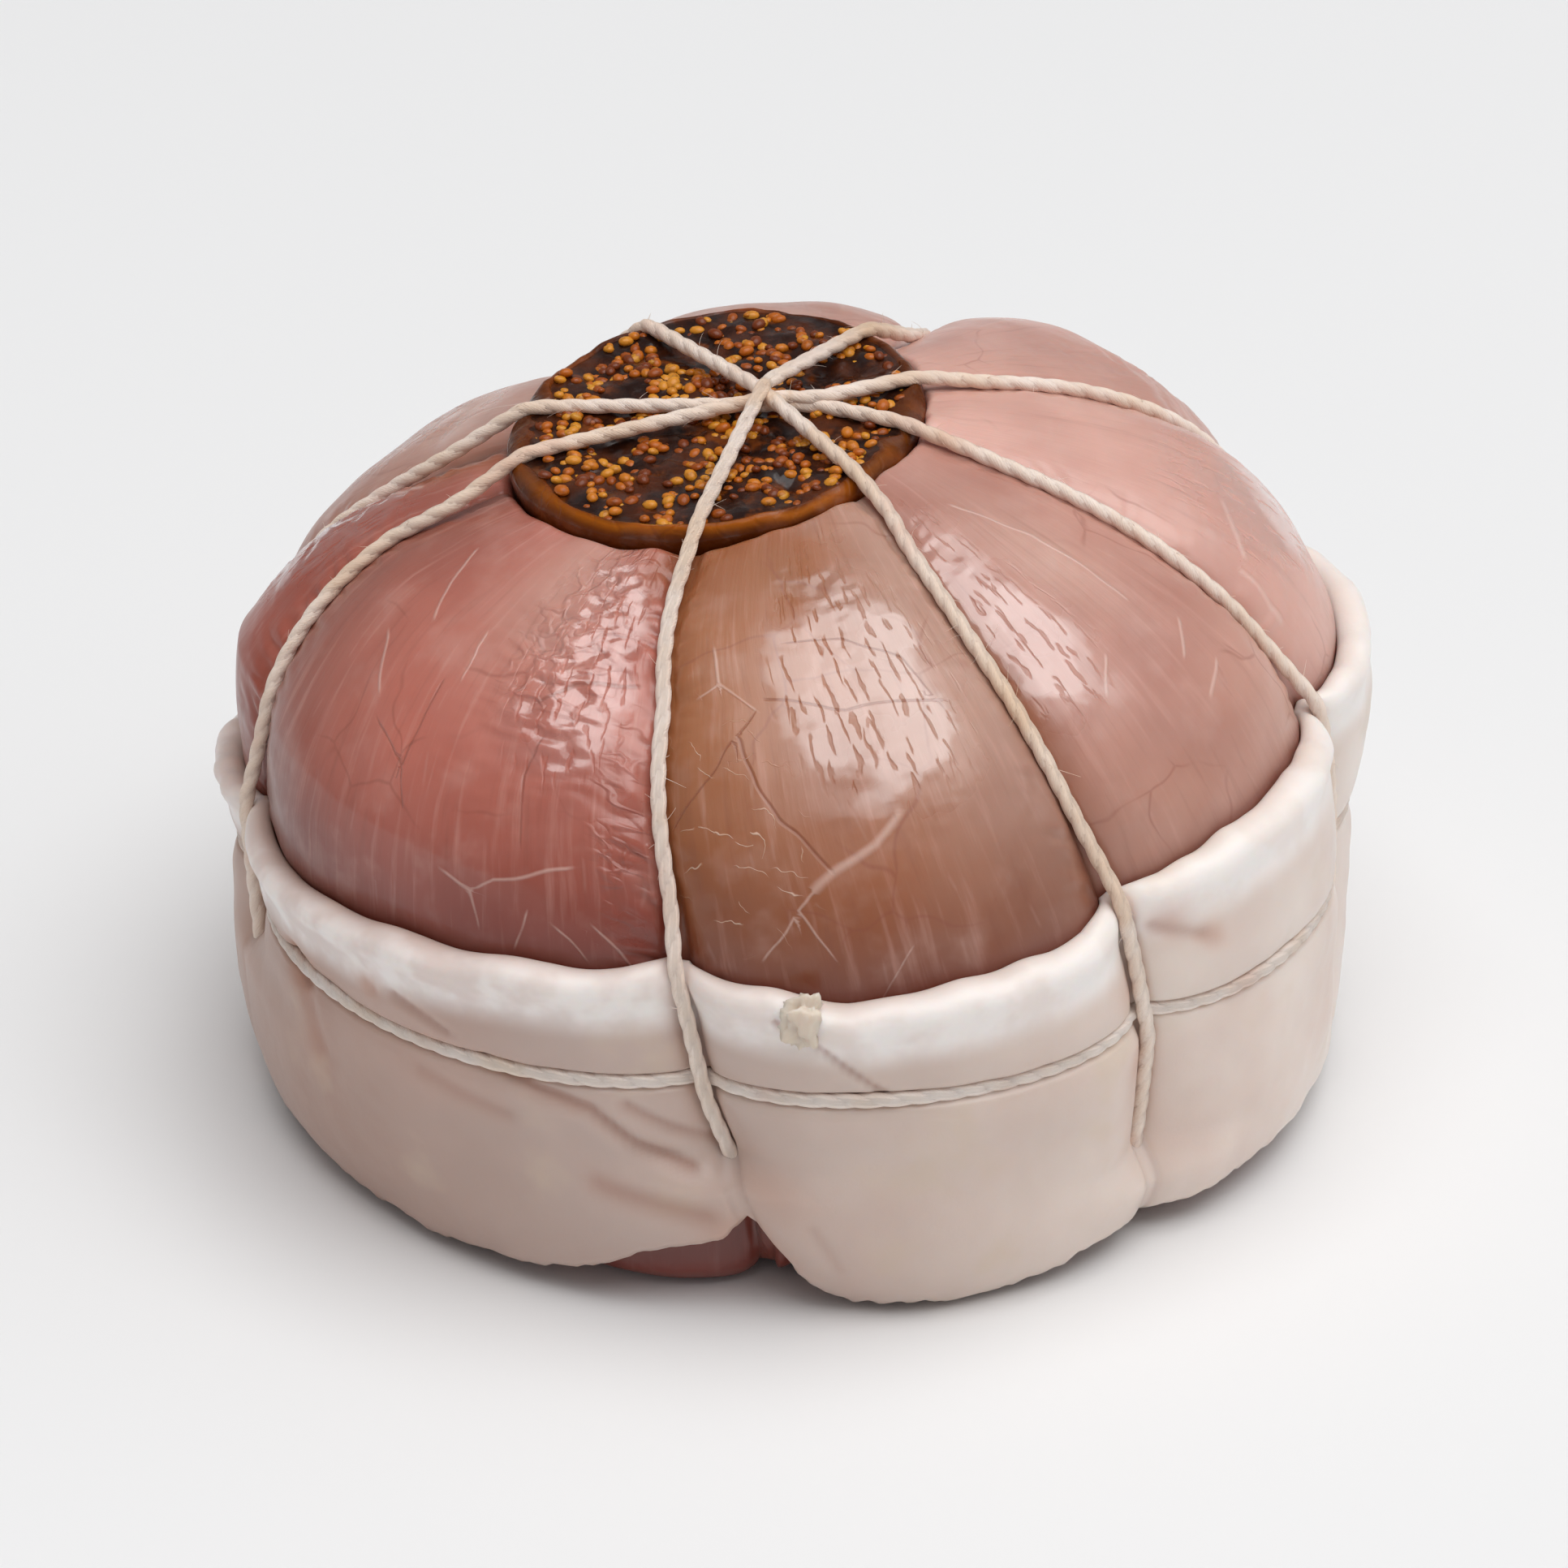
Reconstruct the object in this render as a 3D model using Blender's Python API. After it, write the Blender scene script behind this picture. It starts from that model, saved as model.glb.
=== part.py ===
"""Veal paupiette: a veal escalope rolled round its stuffing, belted with a strip of barding
fat, topped with half a dried fig, and tied with kitchen string that draws it into lobes.

The roll stands on its flat base at z = 0, with its front towards -Y.
"""
import functools
import math

import bmesh
import bpy
from mathutils import Vector

MM = 0.001
GAP = 0.3 * MM              # clearance between neighbouring pieces

# The roll of meat
AXIS = (0.1 * MM, 0.0 * MM)  # where the roll's axis stands
GIRTH = 40.2 * MM           # radius at the crest of the lobes
TOP = 52.3 * MM             # height where the lobes meet on top
WAIST = 24.0 * MM           # height of the widest ring
SINK = 2.0 * MM             # how much of the round foot the flat base takes off
CROWN_POWER = 2.5           # squareness of the upper half's profile
FOOT_POWER = 7.5            # squareness of the lower half's profile
TILT = 0.11                 # slope of the top towards the front
SHOULDER_RISE, POLE_RISE = 40.0, 88.0  # between them the dome meets the nest
FOOT_RISE = -62.0           # where the foot meets the flat base
VALLEY_FLOOR = 1.15 * MM    # half width of the valley's floor, on which the string lies
LOBE_SQUARE = 2.4           # how flat a lobe is along its crest
LOBE_ROUND = 0.62           # and how steeply it falls to the string
FLOOR_MOST = 0.4            # the floor's half width is never more of a lobe than this
FLOOR_EDGE = 1.05           # a column counts as on the floor to just past its edge
LEAN = 0.9                  # the lobes swell a little less upwards than outwards
POLE_RADIUS = 12 * MM       # nearer to the axis the valleys keep the shape they have here
FULL_RADIUS = 30 * MM       # inside this radius the lobes and valleys grow shallower

# Each string leg down the roll: its turn round the axis in degrees and the depth in
# millimetres of the valley that it pulls into the meat, at the foot, belt, shoulder and crown
LEG_HEIGHTS = (4 * MM, 18 * MM, 34 * MM, 46 * MM, 51 * MM)
LEG_TURNS = (
    (-93, -99, -103, -108, -114), (-49, -50, -55.5, -60, -63), (-6, -7, -15, -19, -20),
    (27, 26, 25, 20, 22), (78, 76, 74, 70, 62), (122, 124, 126, 126, 130),
    (166, 168, 170, 172, 176), (194, 191, 193, 190, 196),
)
LEG_DEPTHS = (
    (5.2, 2.8, 3.0, 2.2, 1.6), (4.2, 2.6, 2.8, 2.2, 1.6), (1.0, 1.8, 2.4, 2.0, 1.4),
    (1.6, 2.2, 2.8, 1.6, 1.0), (2.2, 2.4, 3.0, 3.4, 2.6), (2.2, 2.4, 3.0, 3.6, 3.0),
    (1.8, 1.8, 2.0, 1.0, 0.6), (0.8, 1.6, 1.8, 1.0, 0.6),
)
# How far each lobe stands out from the even roll, at the same heights
LOBE_BULGES = (
    (0.0, 0.4, 0.0, 0.0, 0.0), (-0.4, 0.0, 0.0, 0.4, 0.2), (0.6, 0.2, 1.4, 1.2, 0.2),
    (0.4, 0.4, 1.8, 1.2, -0.2), (0.0, 0.0, 0.4, -0.8, -2.0), (0.0, 0.0, 0.4, -2.4, -3.0),
    (-0.2, -0.2, 1.8, -1.4, -2.4), (-0.6, 0.0, 0.8, 0.0, -0.4),
)
LEGS = len(LEG_TURNS)

# The half fig in its nest, cut face up
NEST = (-5.5 * MM, 0.2 * MM)  # the fig's centre, from the roll's axis
FIG_RADIUS = 15.3 * MM
FIG_LONG = 0.06             # how much longer than round it is
FIG_LONG_TURN = 52          # and which way
FIG_DEPTH = 9.5 * MM
FIG_FLANK = 0.6             # how upright its flanks are
FIG_BELLY = 0.8             # and how flat it is underneath
FIG_FACE = 52.1 * MM        # height of the cut face at its centre
FIG_SLOPES = (0.05, 0.1)    # how the face rises to the right and to the back
FIG_RIM = 1.2 * MM          # width of the skin's edge round the pulp
PULP_SINK = 0.5 * MM        # how far the pulp lies below that edge
NEST_LIP = 0.7 * MM         # rounding where the meat turns down into the nest
SEED_RADIUS = 0.62 * MM
SEED_HEIGHT = 0.75          # of a round seed's
SEED_SPIRAL = 1.27 * MM     # how fast the seeds' spiral opens
SEED_FIRST, SEED_LAST = 2, 70
SEED_STRAY = 0.25 * MM      # how far the seeds stray from it
SEED_STRAY_TURN = 2.3
SEED_LIFT = 0.08 * MM       # height of a seed's middle over the pulp

# The strip of barding fat: height of its rim and hem in millimetres at turns round the roll
FAT = 2.6 * MM
FAT_BED = 0.8 * MM          # how far it is drawn into the meat
BED_EDGE = 1.0 * MM         # the meat starts to give this far over the fat's rim
BED_SLOPE = 4.0 * MM        # and has given fully this much lower
FAT_PRESSED = 0.65          # share of the thickness that is left under a string leg
FAT_CLEAR = 0.35 * MM       # height of the hem's lowest edge over what the roll stands on
FAT_RIM = ((-180, 24.7), (-150, 25.0), (-125, 27.0), (-100, 27.8), (-82, 26.6), (-56, 28.2),
           (-48, 30.0), (-35, 31.8), (-10, 33.0), (10, 34.5), (30, 35.0), (60, 34.0),
           (100, 31.5), (140, 28.0), (180, 24.7))
FAT_HEM = ((-180, 2.0), (-128, 1.9), (-113, 4.0), (-101, 8.6), (-97, 8.2), (-93, 2.2),
           (-72, 1.5), (-40, 1.7), (180, 2.0))
FAT_TUCK = 3.4 * MM         # least height of the hem where a string leg draws it up
TUCK_REACH = 0.2            # and how far that reaches, as a share of a lobe

# The string
STRING = 1.2 * MM           # diameter
BELT = 18.9 * MM            # height of the string tied round the fat
BELT_SLOPE = 0.016          # how it rises to the right
BELT_SINK = 0.1 * MM        # how far its centre lies inside the fat's face
BELT_CLEAR = 0.52 * MM      # and how far it hangs clear of the groove in the fat
LAY = 0.55 * MM             # rise from one string to the next where they cross
CROSSING = (-2.2 * MM, 0.0)
SPLIT = (1.9 * MM, 0.0)     # where the legs to the right part from each other
SPLIT_LEGS = (2, 3)

# The base
STRING_WAY = 2.0 * MM       # height of the grooves in which the string passes under the roll
BASE_REACH = 17.0 * MM      # inside this radius the base is dished, clear of the crossed strings
BASE_DISH = 3.9 * MM


def along(rows, place):
    """A value read off rows of (place, value), straight between them."""
    for (start, low), (end, high) in zip(rows, rows[1:]):
        if place <= end:
            share = max((place - start) / (end - start), 0.0)
            return low + (high - low) * share
    return rows[-1][1]


def leg_value(table, leg, height):
    """A leg's turn or depth at a height."""
    return along(tuple(zip(LEG_HEIGHTS, table[leg % LEGS])), height)


def ease(value):
    """0 to 1 with level ends."""
    value = min(max(value, 0.0), 1.0)
    return value * value * (3 - 2 * value)


def crest(rise):
    """Radius and height of the even roll; rise runs from -90 at the foot to 90 on top."""
    side = math.cos(math.radians(rise))
    up = math.sin(math.radians(rise))
    if up >= 0:
        return GIRTH * side ** (2 / CROWN_POWER), WAIST + (TOP - WAIST) * up ** (2 / CROWN_POWER)
    return GIRTH * side ** (2 / FOOT_POWER), WAIST - (WAIST + SINK) * (-up) ** (2 / FOOT_POWER)


def lobe_turn(place, height):
    """The turn of a place round the roll, where whole numbers are the legs and the rest lobes."""
    leg = math.floor(place)
    start = leg_value(LEG_TURNS, leg, height)
    end = leg_value(LEG_TURNS, leg + 1, height)
    if leg % LEGS == LEGS - 1:
        end += 360
    return start + (end - start) * (place - leg)


def turn_at_belt(place):
    """The turn at the belt's height, from -180 to 180."""
    return (lobe_turn(place, BELT) + 180) % 360 - 180


def fat_rim(place):
    """Height of the top edge of the fat."""
    return along(FAT_RIM, turn_at_belt(place)) * MM


def fat_hem(place):
    """Height of the bottom edge of the fat; a string leg draws it up a little."""
    hem = along(FAT_HEM, turn_at_belt(place)) * MM
    pull = 1 - ease(abs(place - round(place)) / TUCK_REACH)
    return hem + max(FAT_TUCK - hem, 0.0) * pull


def belt_height(place):
    """Height of the string tied round the fat."""
    return BELT + BELT_SLOPE * GIRTH * math.cos(math.radians(turn_at_belt(place)))


def floor_share(place, radius):
    """Half the valley floor's width as a share of the lobe's width."""
    leg = math.floor(place)
    wide = 2 * math.radians(lobe_turn(leg + 0.5, BELT) - lobe_turn(leg, BELT))
    return min(VALLEY_FLOOR / (radius * wide), FLOOR_MOST)


def swelling(place, radius):
    """How far a lobe has swollen, 0 beside a string and 1 along its crest."""
    across = abs(2 * (place - math.floor(place)) - 1)
    across = min(across / (1 - 2 * floor_share(place, radius)), 1.0)
    return (1 - across ** LOBE_SQUARE) ** LOBE_ROUND


def bulge(place, height):
    """How far the lobes stand out, passing evenly from each lobe's crest to the next."""
    before = math.floor(place - 0.5)
    start, end = (leg_value(LOBE_BULGES, lobe, height) * MM for lobe in (before, before + 1))
    return start + (end - start) * ease(place - 0.5 - before)


def relief(place, radius, height):
    """How far the meat stands out from the even roll, less than nothing in a valley."""
    leg = math.floor(place)
    near = leg if place - leg < 0.5 else leg + 1
    valley = leg_value(LEG_DEPTHS, near, height) * MM * (1 - swelling(place, radius))
    bed = FAT_BED * ease((fat_rim(place) + BED_EDGE - height) / BED_SLOPE)
    return bulge(place, height) - valley - bed


def beside_string(place):
    """True in the narrow floor of a valley."""
    return abs(place - round(place)) < floor_share(place, GIRTH) * FLOOR_EDGE


def roll_point(place, rise, out=0.0):
    """A point on the roll, or on a skin that lies the given distance outside it."""
    radius, height = crest(rise)
    turn = math.radians(lobe_turn(place, height))
    shift = relief(place, max(radius, POLE_RADIUS), height) * min(radius / FULL_RADIUS, 1.0) + out
    radius += shift * math.cos(math.radians(rise))
    height += shift * math.sin(math.radians(rise)) * LEAN
    x, y = radius * math.cos(turn), radius * math.sin(turn)
    height += TILT * y * (max(height, 0.0) / TOP) ** 2
    return Vector((x, y, max(height, STRING_WAY if beside_string(place) else 0.0)))


def turning_value(low, high, is_low):
    """The value between two at which a test on it turns false."""
    for _ in range(24):
        middle = (low + high) / 2
        if is_low(middle):
            low = middle
        else:
            high = middle
    return (low + high) / 2


def outside_fig(point):
    """How far a point stands outside the fig, seen from above."""
    away = point.xy - Vector(NEST)
    return away.length - fig_radius(math.atan2(away.y, away.x))


@functools.lru_cache(maxsize=None)
def lip_rise(place):
    """The rise at which the dome ends at the lip of the nest."""
    return turning_value(SHOULDER_RISE, POLE_RISE,
                         lambda rise: outside_fig(roll_point(place, rise)) > GAP + NEST_LIP)


def lip_point(place):
    """The point of the dome on the lip of the nest."""
    return roll_point(place, lip_rise(place))


def rise_at(place, height):
    """The rise at which the meat reaches a height."""
    return turning_value(FOOT_RISE, lip_rise(place), lambda rise: roll_point(place, rise).z < height)


def fat_levels(place):
    """Heights down the roll at which the fat bears on the meat, from its rim to its hem."""
    hem, rim, belt = fat_hem(place), fat_rim(place), belt_height(place)
    top, bottom = rim - 0.5 * MM, hem + 0.4 * MM
    return top, top - 2 * MM, (rim + belt) / 2, belt, (hem + belt) / 2, bottom + 2.6 * MM, bottom


def face_height(x, y):
    """Height of the fig's cut face, which leans to the front and the left."""
    return FIG_FACE + FIG_SLOPES[0] * (x - NEST[0]) + FIG_SLOPES[1] * (y - NEST[1])


def fig_radius(turn):
    """The fig isn't quite round."""
    return FIG_RADIUS * (1 + FIG_LONG * math.cos(2 * (turn - math.radians(FIG_LONG_TURN))))


def nest_point(turn, dip, clear=0.0):
    """A point on the fig's skin; dip runs from 0 at the cut face to 90 underneath."""
    side, down = math.cos(math.radians(dip)), math.sin(math.radians(dip))
    radius = fig_radius(turn) * side ** FIG_FLANK + clear * side
    x = NEST[0] + radius * math.cos(turn)
    y = NEST[1] + radius * math.sin(turn)
    return Vector((x, y, face_height(x, y) - FIG_DEPTH * down ** FIG_BELLY - clear * down))


def standing(point):
    """A point of the roll, set on the roll's own axis."""
    return Vector((point.x + AXIS[0], point.y + AXIS[1], point.z))


def add_material(thing, colour, roughness):
    """The piece's own plain finish."""
    material = bpy.data.materials.new(thing.name)
    material.use_nodes = True
    finish = material.node_tree.nodes["Principled BSDF"]
    finish.inputs["Base Color"].default_value = (*colour, 1.0)
    finish.inputs["Roughness"].default_value = roughness
    finish.inputs["Metallic"].default_value = 0.0
    thing.data.materials.append(material)


def add_piece(name, mesh_builder, colour, roughness):
    """A named object from a bmesh, with its faces outwards and shaded smooth."""
    bmesh.ops.recalc_face_normals(mesh_builder, faces=mesh_builder.faces)
    if mesh_builder.calc_volume(signed=True) < 0:
        bmesh.ops.reverse_faces(mesh_builder, faces=mesh_builder.faces)
    mesh = bpy.data.meshes.new(name)
    mesh_builder.to_mesh(mesh)
    mesh_builder.free()
    mesh.shade_smooth()
    thing = bpy.data.objects.new(name, mesh)
    bpy.context.scene.collection.objects.link(thing)
    add_material(thing, colour, roughness)
    return thing


# The meat: a ball of rings and columns, each column lying along a lobe or a valley
SIDES = 10                  # columns in each lobe
NEST_RINGS = 6
NEST_DIP = 14               # of the highest ring on the nest's wall
CROWN_RINGS = 10
CROWN_FOOT = 1.2 * MM       # height of its lowest ring over the fat's rim
SIDE_RINGS = 7
FOOT_RINGS = 3
BASE_RINGS = 4


def column_place(column):
    """A column's place round the roll: valleys have one along each edge of their floor."""
    lobe, step = divmod(column, SIDES)
    if step == 0:
        return float(lobe)
    edge = floor_share(lobe + 0.5, GIRTH)
    share = (step - 1) / (SIDES - 2)
    share = 0.5 * share + 0.5 * (0.5 - 0.5 * math.cos(math.pi * share))
    return lobe + edge + (1 - 2 * edge) * share


def nest_ring(ring, place):
    """Rings 0 to NEST_RINGS, from the middle of the nest's floor up its wall."""
    lip = lip_point(place)
    turn = math.atan2(lip.y - NEST[1], lip.x - NEST[0])
    if ring < NEST_RINGS:
        return nest_point(turn, 90 - ring * (90 - NEST_DIP) / (NEST_RINGS - 1), GAP)
    wall = nest_point(turn, 0, GAP)
    return Vector((wall.x, wall.y, lip.z - NEST_LIP))


def crown_ring(share, place):
    """The dome from the nest's lip at share 0 to just over the fat's rim at 1."""
    low = rise_at(place, fat_rim(place) + CROWN_FOOT)
    return roll_point(place, low + (lip_rise(place) - low) * (1 - share))


def foot_ring(share, place):
    """The foot, from the fat's hem at share 0 to the flat base at 1."""
    start = rise_at(place, fat_levels(place)[-1])
    return roll_point(place, start + (FOOT_RISE - start) * share)


def base_ring(share, place):
    """The flat base, from the foot at share 0 to its middle, dished and grooved for the string."""
    foot = roll_point(place, FOOT_RISE)
    point = foot * (1 - share)
    reach = math.hypot(point.x, point.y)
    dish = BASE_DISH if reach < BASE_REACH else 0.0
    point.z = max(foot.z, dish)
    return point


def veal_point(ring, place):
    """A point of the meat, rings counted from the middle of the nest to the middle of the base."""
    if ring <= NEST_RINGS:
        return nest_ring(ring, place)
    ring -= NEST_RINGS
    if ring <= CROWN_RINGS:
        return crown_ring((ring - 1) / (CROWN_RINGS - 1), place)
    ring -= CROWN_RINGS
    if ring <= SIDE_RINGS:
        return roll_point(place, rise_at(place, fat_levels(place)[ring - 1]))
    ring -= SIDE_RINGS
    if ring <= FOOT_RINGS:
        return foot_ring(ring / FOOT_RINGS, place)
    return base_ring((ring - FOOT_RINGS) / (BASE_RINGS + 1), place)


def make_veal():
    """The rolled escalope, one solid from its base to the nest for the fig."""
    rings = NEST_RINGS + CROWN_RINGS + SIDE_RINGS + FOOT_RINGS + BASE_RINGS + 1
    columns = LEGS * SIDES
    ball = bmesh.new()
    bmesh.ops.create_uvsphere(ball, u_segments=columns, v_segments=rings, radius=1.0)
    for vertex in ball.verts:
        level = math.degrees(math.acos(max(-1.0, min(1.0, vertex.co.z))))
        ring = round(level * rings / 180)
        column = round(math.degrees(math.atan2(vertex.co.y, vertex.co.x)) * columns / 360) % columns
        vertex.co = standing(veal_point(ring, column_place(column)))
    return add_piece("veal", ball, (0.42, 0.17, 0.13), 0.32)


# The barding fat: a strip wound round the roll as a ring
GROOVE_HALF = 1.1 * MM
FAT_SIDES = 10              # columns in each lobe


def fat_thickness(place):
    """The strip is pressed thinner where a string leg crosses it."""
    return FAT * (FAT_PRESSED + (1 - FAT_PRESSED) * swelling(place, GIRTH))


def fat_point(place, height, depth):
    """A point of the strip, depth 0 against the meat and 1 on its outer face."""
    rise = rise_at(place, height)
    point = roll_point(place, rise, GAP + fat_thickness(place) * depth)
    point.z = max(point.z, FAT_CLEAR)
    return point


def fat_section(place):
    """Height and depth of the points round the strip's section, from the hem up its outer face."""
    hem, rim, belt = fat_hem(place), fat_rim(place), belt_height(place)
    groove = 1 - (STRING / 2 + BELT_SINK + BELT_CLEAR) / fat_thickness(place)
    face = (
        (hem, 0.35), (hem + 0.1 * MM, 0.8), (hem + 0.7 * MM, 1.0), (hem + 3.4 * MM, 1.0),
        ((hem + belt) / 2, 1.0),
        (belt - GROOVE_HALF, 1.0), (belt - 0.45 * GROOVE_HALF, groove),
        (belt + 0.45 * GROOVE_HALF, groove), (belt + GROOVE_HALF, 1.0),
        (rim - 2.2 * MM, 1.0), (rim - 0.8 * MM, 0.9), (rim, 0.55),
    )
    return face + tuple((level, 0.0) for level in fat_levels(place))


def make_fat_band():
    """The strip of barding fat, a closed ring with a grooved face, a round rim and a ragged hem."""
    columns = LEGS * FAT_SIDES
    corners = len(fat_section(0.5))
    band = bmesh.new()
    ring = bmesh.ops.create_circle(band, segments=corners, radius=0.3)["verts"]
    for vertex in ring:
        vertex.co = Vector((1 + vertex.co.x, 0, vertex.co.y))
    bmesh.ops.spin(band, geom=band.verts[:] + band.edges[:], cent=(0, 0, 0), axis=(0, 0, 1),
                   angle=2 * math.pi, steps=columns, use_merge=True)
    for vertex in band.verts:
        column = round(math.atan2(vertex.co.y, vertex.co.x) * columns / (2 * math.pi)) % columns
        outward = math.hypot(vertex.co.x, vertex.co.y) - 1
        corner = round(math.atan2(vertex.co.z, outward) * corners / (2 * math.pi)) % corners
        place = column_place(column)
        height, depth = fat_section(place)[corner]
        vertex.co = standing(fat_point(place, height, depth))
    return add_piece("fat_band", band, (0.78, 0.66, 0.6), 0.4)


# The fig
FIG_SIDES = 32
FACE_RINGS = 5
SKIN_RINGS = 8
SKIN_DIP = 4                # of the skin's highest ring, just under its edge


def fig_ring(ring, turn):
    """A point of the fig: the pulp from its middle, the skin's edge, and the skin down and under."""
    if ring <= FACE_RINGS:
        reach = (fig_radius(turn) - FIG_RIM) * ring / FACE_RINGS
        x, y = NEST[0] + reach * math.cos(turn), NEST[1] + reach * math.sin(turn)
        return Vector((x, y, face_height(x, y) - PULP_SINK))
    if ring == FACE_RINGS + 1:
        edge = nest_point(turn, 0)
        middle = Vector((*NEST, edge.z))
        return middle.lerp(edge, 1 - FIG_RIM / 2 / FIG_RADIUS)
    return nest_point(turn, SKIN_DIP + (ring - FACE_RINGS - 2) * (90 - SKIN_DIP) / (SKIN_RINGS + 1))


def string_clearance(x, y):
    """How far a place on the fig's face lies from the nearest string."""
    best = 1.0
    for leg in range(LEGS):
        points = leg_plan(leg)
        for start, end in zip(points, points[1:]):
            run = end - start
            share = max(0.0, min(1.0, (Vector((x, y)) - start).dot(run) / run.length_squared))
            best = min(best, (Vector((x, y)) - start - run * share).length)
    return best


def seed_places():
    """The seeds' places on the pulp: a sunflower spiral, with none under a string."""
    golden = math.pi * (3 - math.sqrt(5))
    places = []
    for seed in range(SEED_FIRST, SEED_LAST):
        reach = SEED_SPIRAL * math.sqrt(seed) + SEED_STRAY * math.sin(seed * SEED_STRAY_TURN)
        turn = seed * golden
        x, y = NEST[0] + reach * math.cos(turn), NEST[1] + reach * math.sin(turn)
        inside = reach < fig_radius(turn) - FIG_RIM - SEED_RADIUS
        if inside and string_clearance(x, y) > STRING / 2 + SEED_RADIUS + GAP:
            places.append((x, y))
    return places


def fuse(thing, extras):
    """Joins the extra pieces to a piece as one closed body, and removes them."""
    helpers = bpy.data.collections.new(thing.name + "_extras")
    for extra in extras:
        helpers.objects.link(extra)
    union = thing.modifiers.new("union", "BOOLEAN")
    union.operation = "UNION"
    union.operand_type = "COLLECTION"
    union.collection = helpers
    union.solver = "EXACT"
    bpy.context.view_layer.update()
    shape = bpy.data.meshes.new_from_object(thing.evaluated_get(bpy.context.evaluated_depsgraph_get()))
    thing.modifiers.clear()
    thing.data = shape
    for extra in extras:
        bpy.data.objects.remove(extra)
    bpy.data.collections.remove(helpers)
    return thing


def make_fig_half():
    """Half a dried fig, cut face up, with its seeds standing out of the pulp."""
    rings = FACE_RINGS + 1 + SKIN_RINGS + 1
    ball = bmesh.new()
    bmesh.ops.create_uvsphere(ball, u_segments=FIG_SIDES, v_segments=rings, radius=1.0)
    for vertex in ball.verts:
        level = math.degrees(math.acos(max(-1.0, min(1.0, vertex.co.z))))
        ring = round(level * rings / 180)
        turn = math.atan2(vertex.co.y, vertex.co.x)
        vertex.co = standing(fig_ring(ring, turn) if ring < rings else nest_point(0, 90))
    fig = add_piece("fig_half", ball, (0.25, 0.1, 0.03), 0.3)
    seeds = []
    for x, y in seed_places():
        grain = bmesh.new()
        bmesh.ops.create_icosphere(grain, subdivisions=1, radius=SEED_RADIUS)
        bmesh.ops.scale(grain, vec=(1.0, 1.0, SEED_HEIGHT), verts=grain.verts)
        place = standing(Vector((x, y, face_height(x, y) - PULP_SINK + SEED_LIFT)))
        bmesh.ops.translate(grain, vec=place, verts=grain.verts)
        seeds.append(add_piece("seed", grain, (0.5, 0.25, 0.05), 0.3))
    return fuse(fig, seeds)


# The string
LEG_STEP = 6.0 * MM         # spacing of the points along the string
LEG_BEND = math.radians(27)  # and the most that it bends from one to the next
SAMPLES = 60                # places down a valley where the string may touch
FINE_STEP = 1.0 * MM        # spacing along the way that it is pulled taut on
WELD = 0.01 * MM            # points of the tube closer than this are one
CROSSING_REACH = 12 * MM    # round the crossing underneath the strings lie over each other
STRING_CLEAR = STRING / 2 + GAP * 1.5


def crossing_at(height):
    """The line on which the strings cross, from under the roll to the top of the fig."""
    return Vector(CROSSING) * ease((height - WAIST) / (TOP - WAIST))


def leg_plan(leg):
    """A leg's way over the fig, seen from above: its crossing, any split, and the nest's lip."""
    points = [Vector(CROSSING), lip_point(leg).xy]
    if leg in SPLIT_LEGS:
        points.insert(1, Vector(SPLIT))
    return points


def belt_point(place):
    """The centre of the string tied round the fat."""
    out = GAP + fat_thickness(place) - BELT_SINK
    return roll_point(place, rise_at(place, belt_height(place)), out)


def leg_way(leg, height):
    """The plan direction from the crossing line to the leg's valley at a height."""
    lip = lip_point(leg)
    valley = lip if height > lip.z else roll_point(leg, rise_at(leg, height))
    return (valley.xy - crossing_at(min(height, lip.z))).normalized()


def resting_points(leg):
    """What a leg's string lies on, as reach from the crossing line and height, from the crossing
    on the fig to the crossing underneath."""
    hem, rim, lip = fat_hem(leg), fat_rim(leg), lip_point(leg)
    shares = [step / SAMPLES for step in range(SAMPLES + 1)]
    rises = [FOOT_RISE + (lip_rise(leg) - FOOT_RISE) * share for share in shares]
    rises += [rise_at(leg, lip.z * share) for share in shares]
    points = []
    for rise in rises:
        point = roll_point(leg, rise)
        if hem <= point.z <= rim:
            point = roll_point(leg, rise, GAP + fat_thickness(leg))
        points.append(point)
    belt = belt_point(leg)
    points.append(belt + Vector((belt.x, belt.y, 0)).normalized() * STRING / 2)
    points.append(nest_point(math.atan2(lip.y - NEST[1], lip.x - NEST[0]), 0))
    rows = [((point.xy - crossing_at(point.z)).length, point.z) for point in points]
    rows.sort(key=lambda row: (-row[1], -row[0]))
    top = face_height(*CROSSING) + leg_level(leg) * LAY
    return [(0.0, top)] + rows + [(0.0, STRING_WAY)]


def leg_level(leg):
    """How many strings lie under this one where they cross on the fig."""
    return {0: 3, 1: 2, 2: 0, 3: 1}[leg % (LEGS // 2)]


def taut(rows):
    """The rows that a tight string touches: the outer side of their convex outline."""
    touched = []
    for reach, height in rows:
        while len(touched) > 1:
            (first, high), (last, low) = touched[-2], touched[-1]
            if (last - first) * (height - low) - (low - high) * (reach - last) < 0:
                break
            touched.pop()
        touched.append((reach, height))
    return touched


def leg_profile(leg):
    """The string's own way in the upright plane of its leg, clear of what it lies on."""
    touched = taut(resting_points(leg))
    line = spaced([Vector((reach, height)) for reach, height in touched], FINE_STEP)
    profile = []
    for index, place in enumerate(line):
        run = (line[min(index + 2, len(line) - 1)] - line[max(index - 2, 0)]).normalized()
        profile.append(place + Vector((-run.y, run.x)) * STRING_CLEAR)
    return profile


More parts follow.
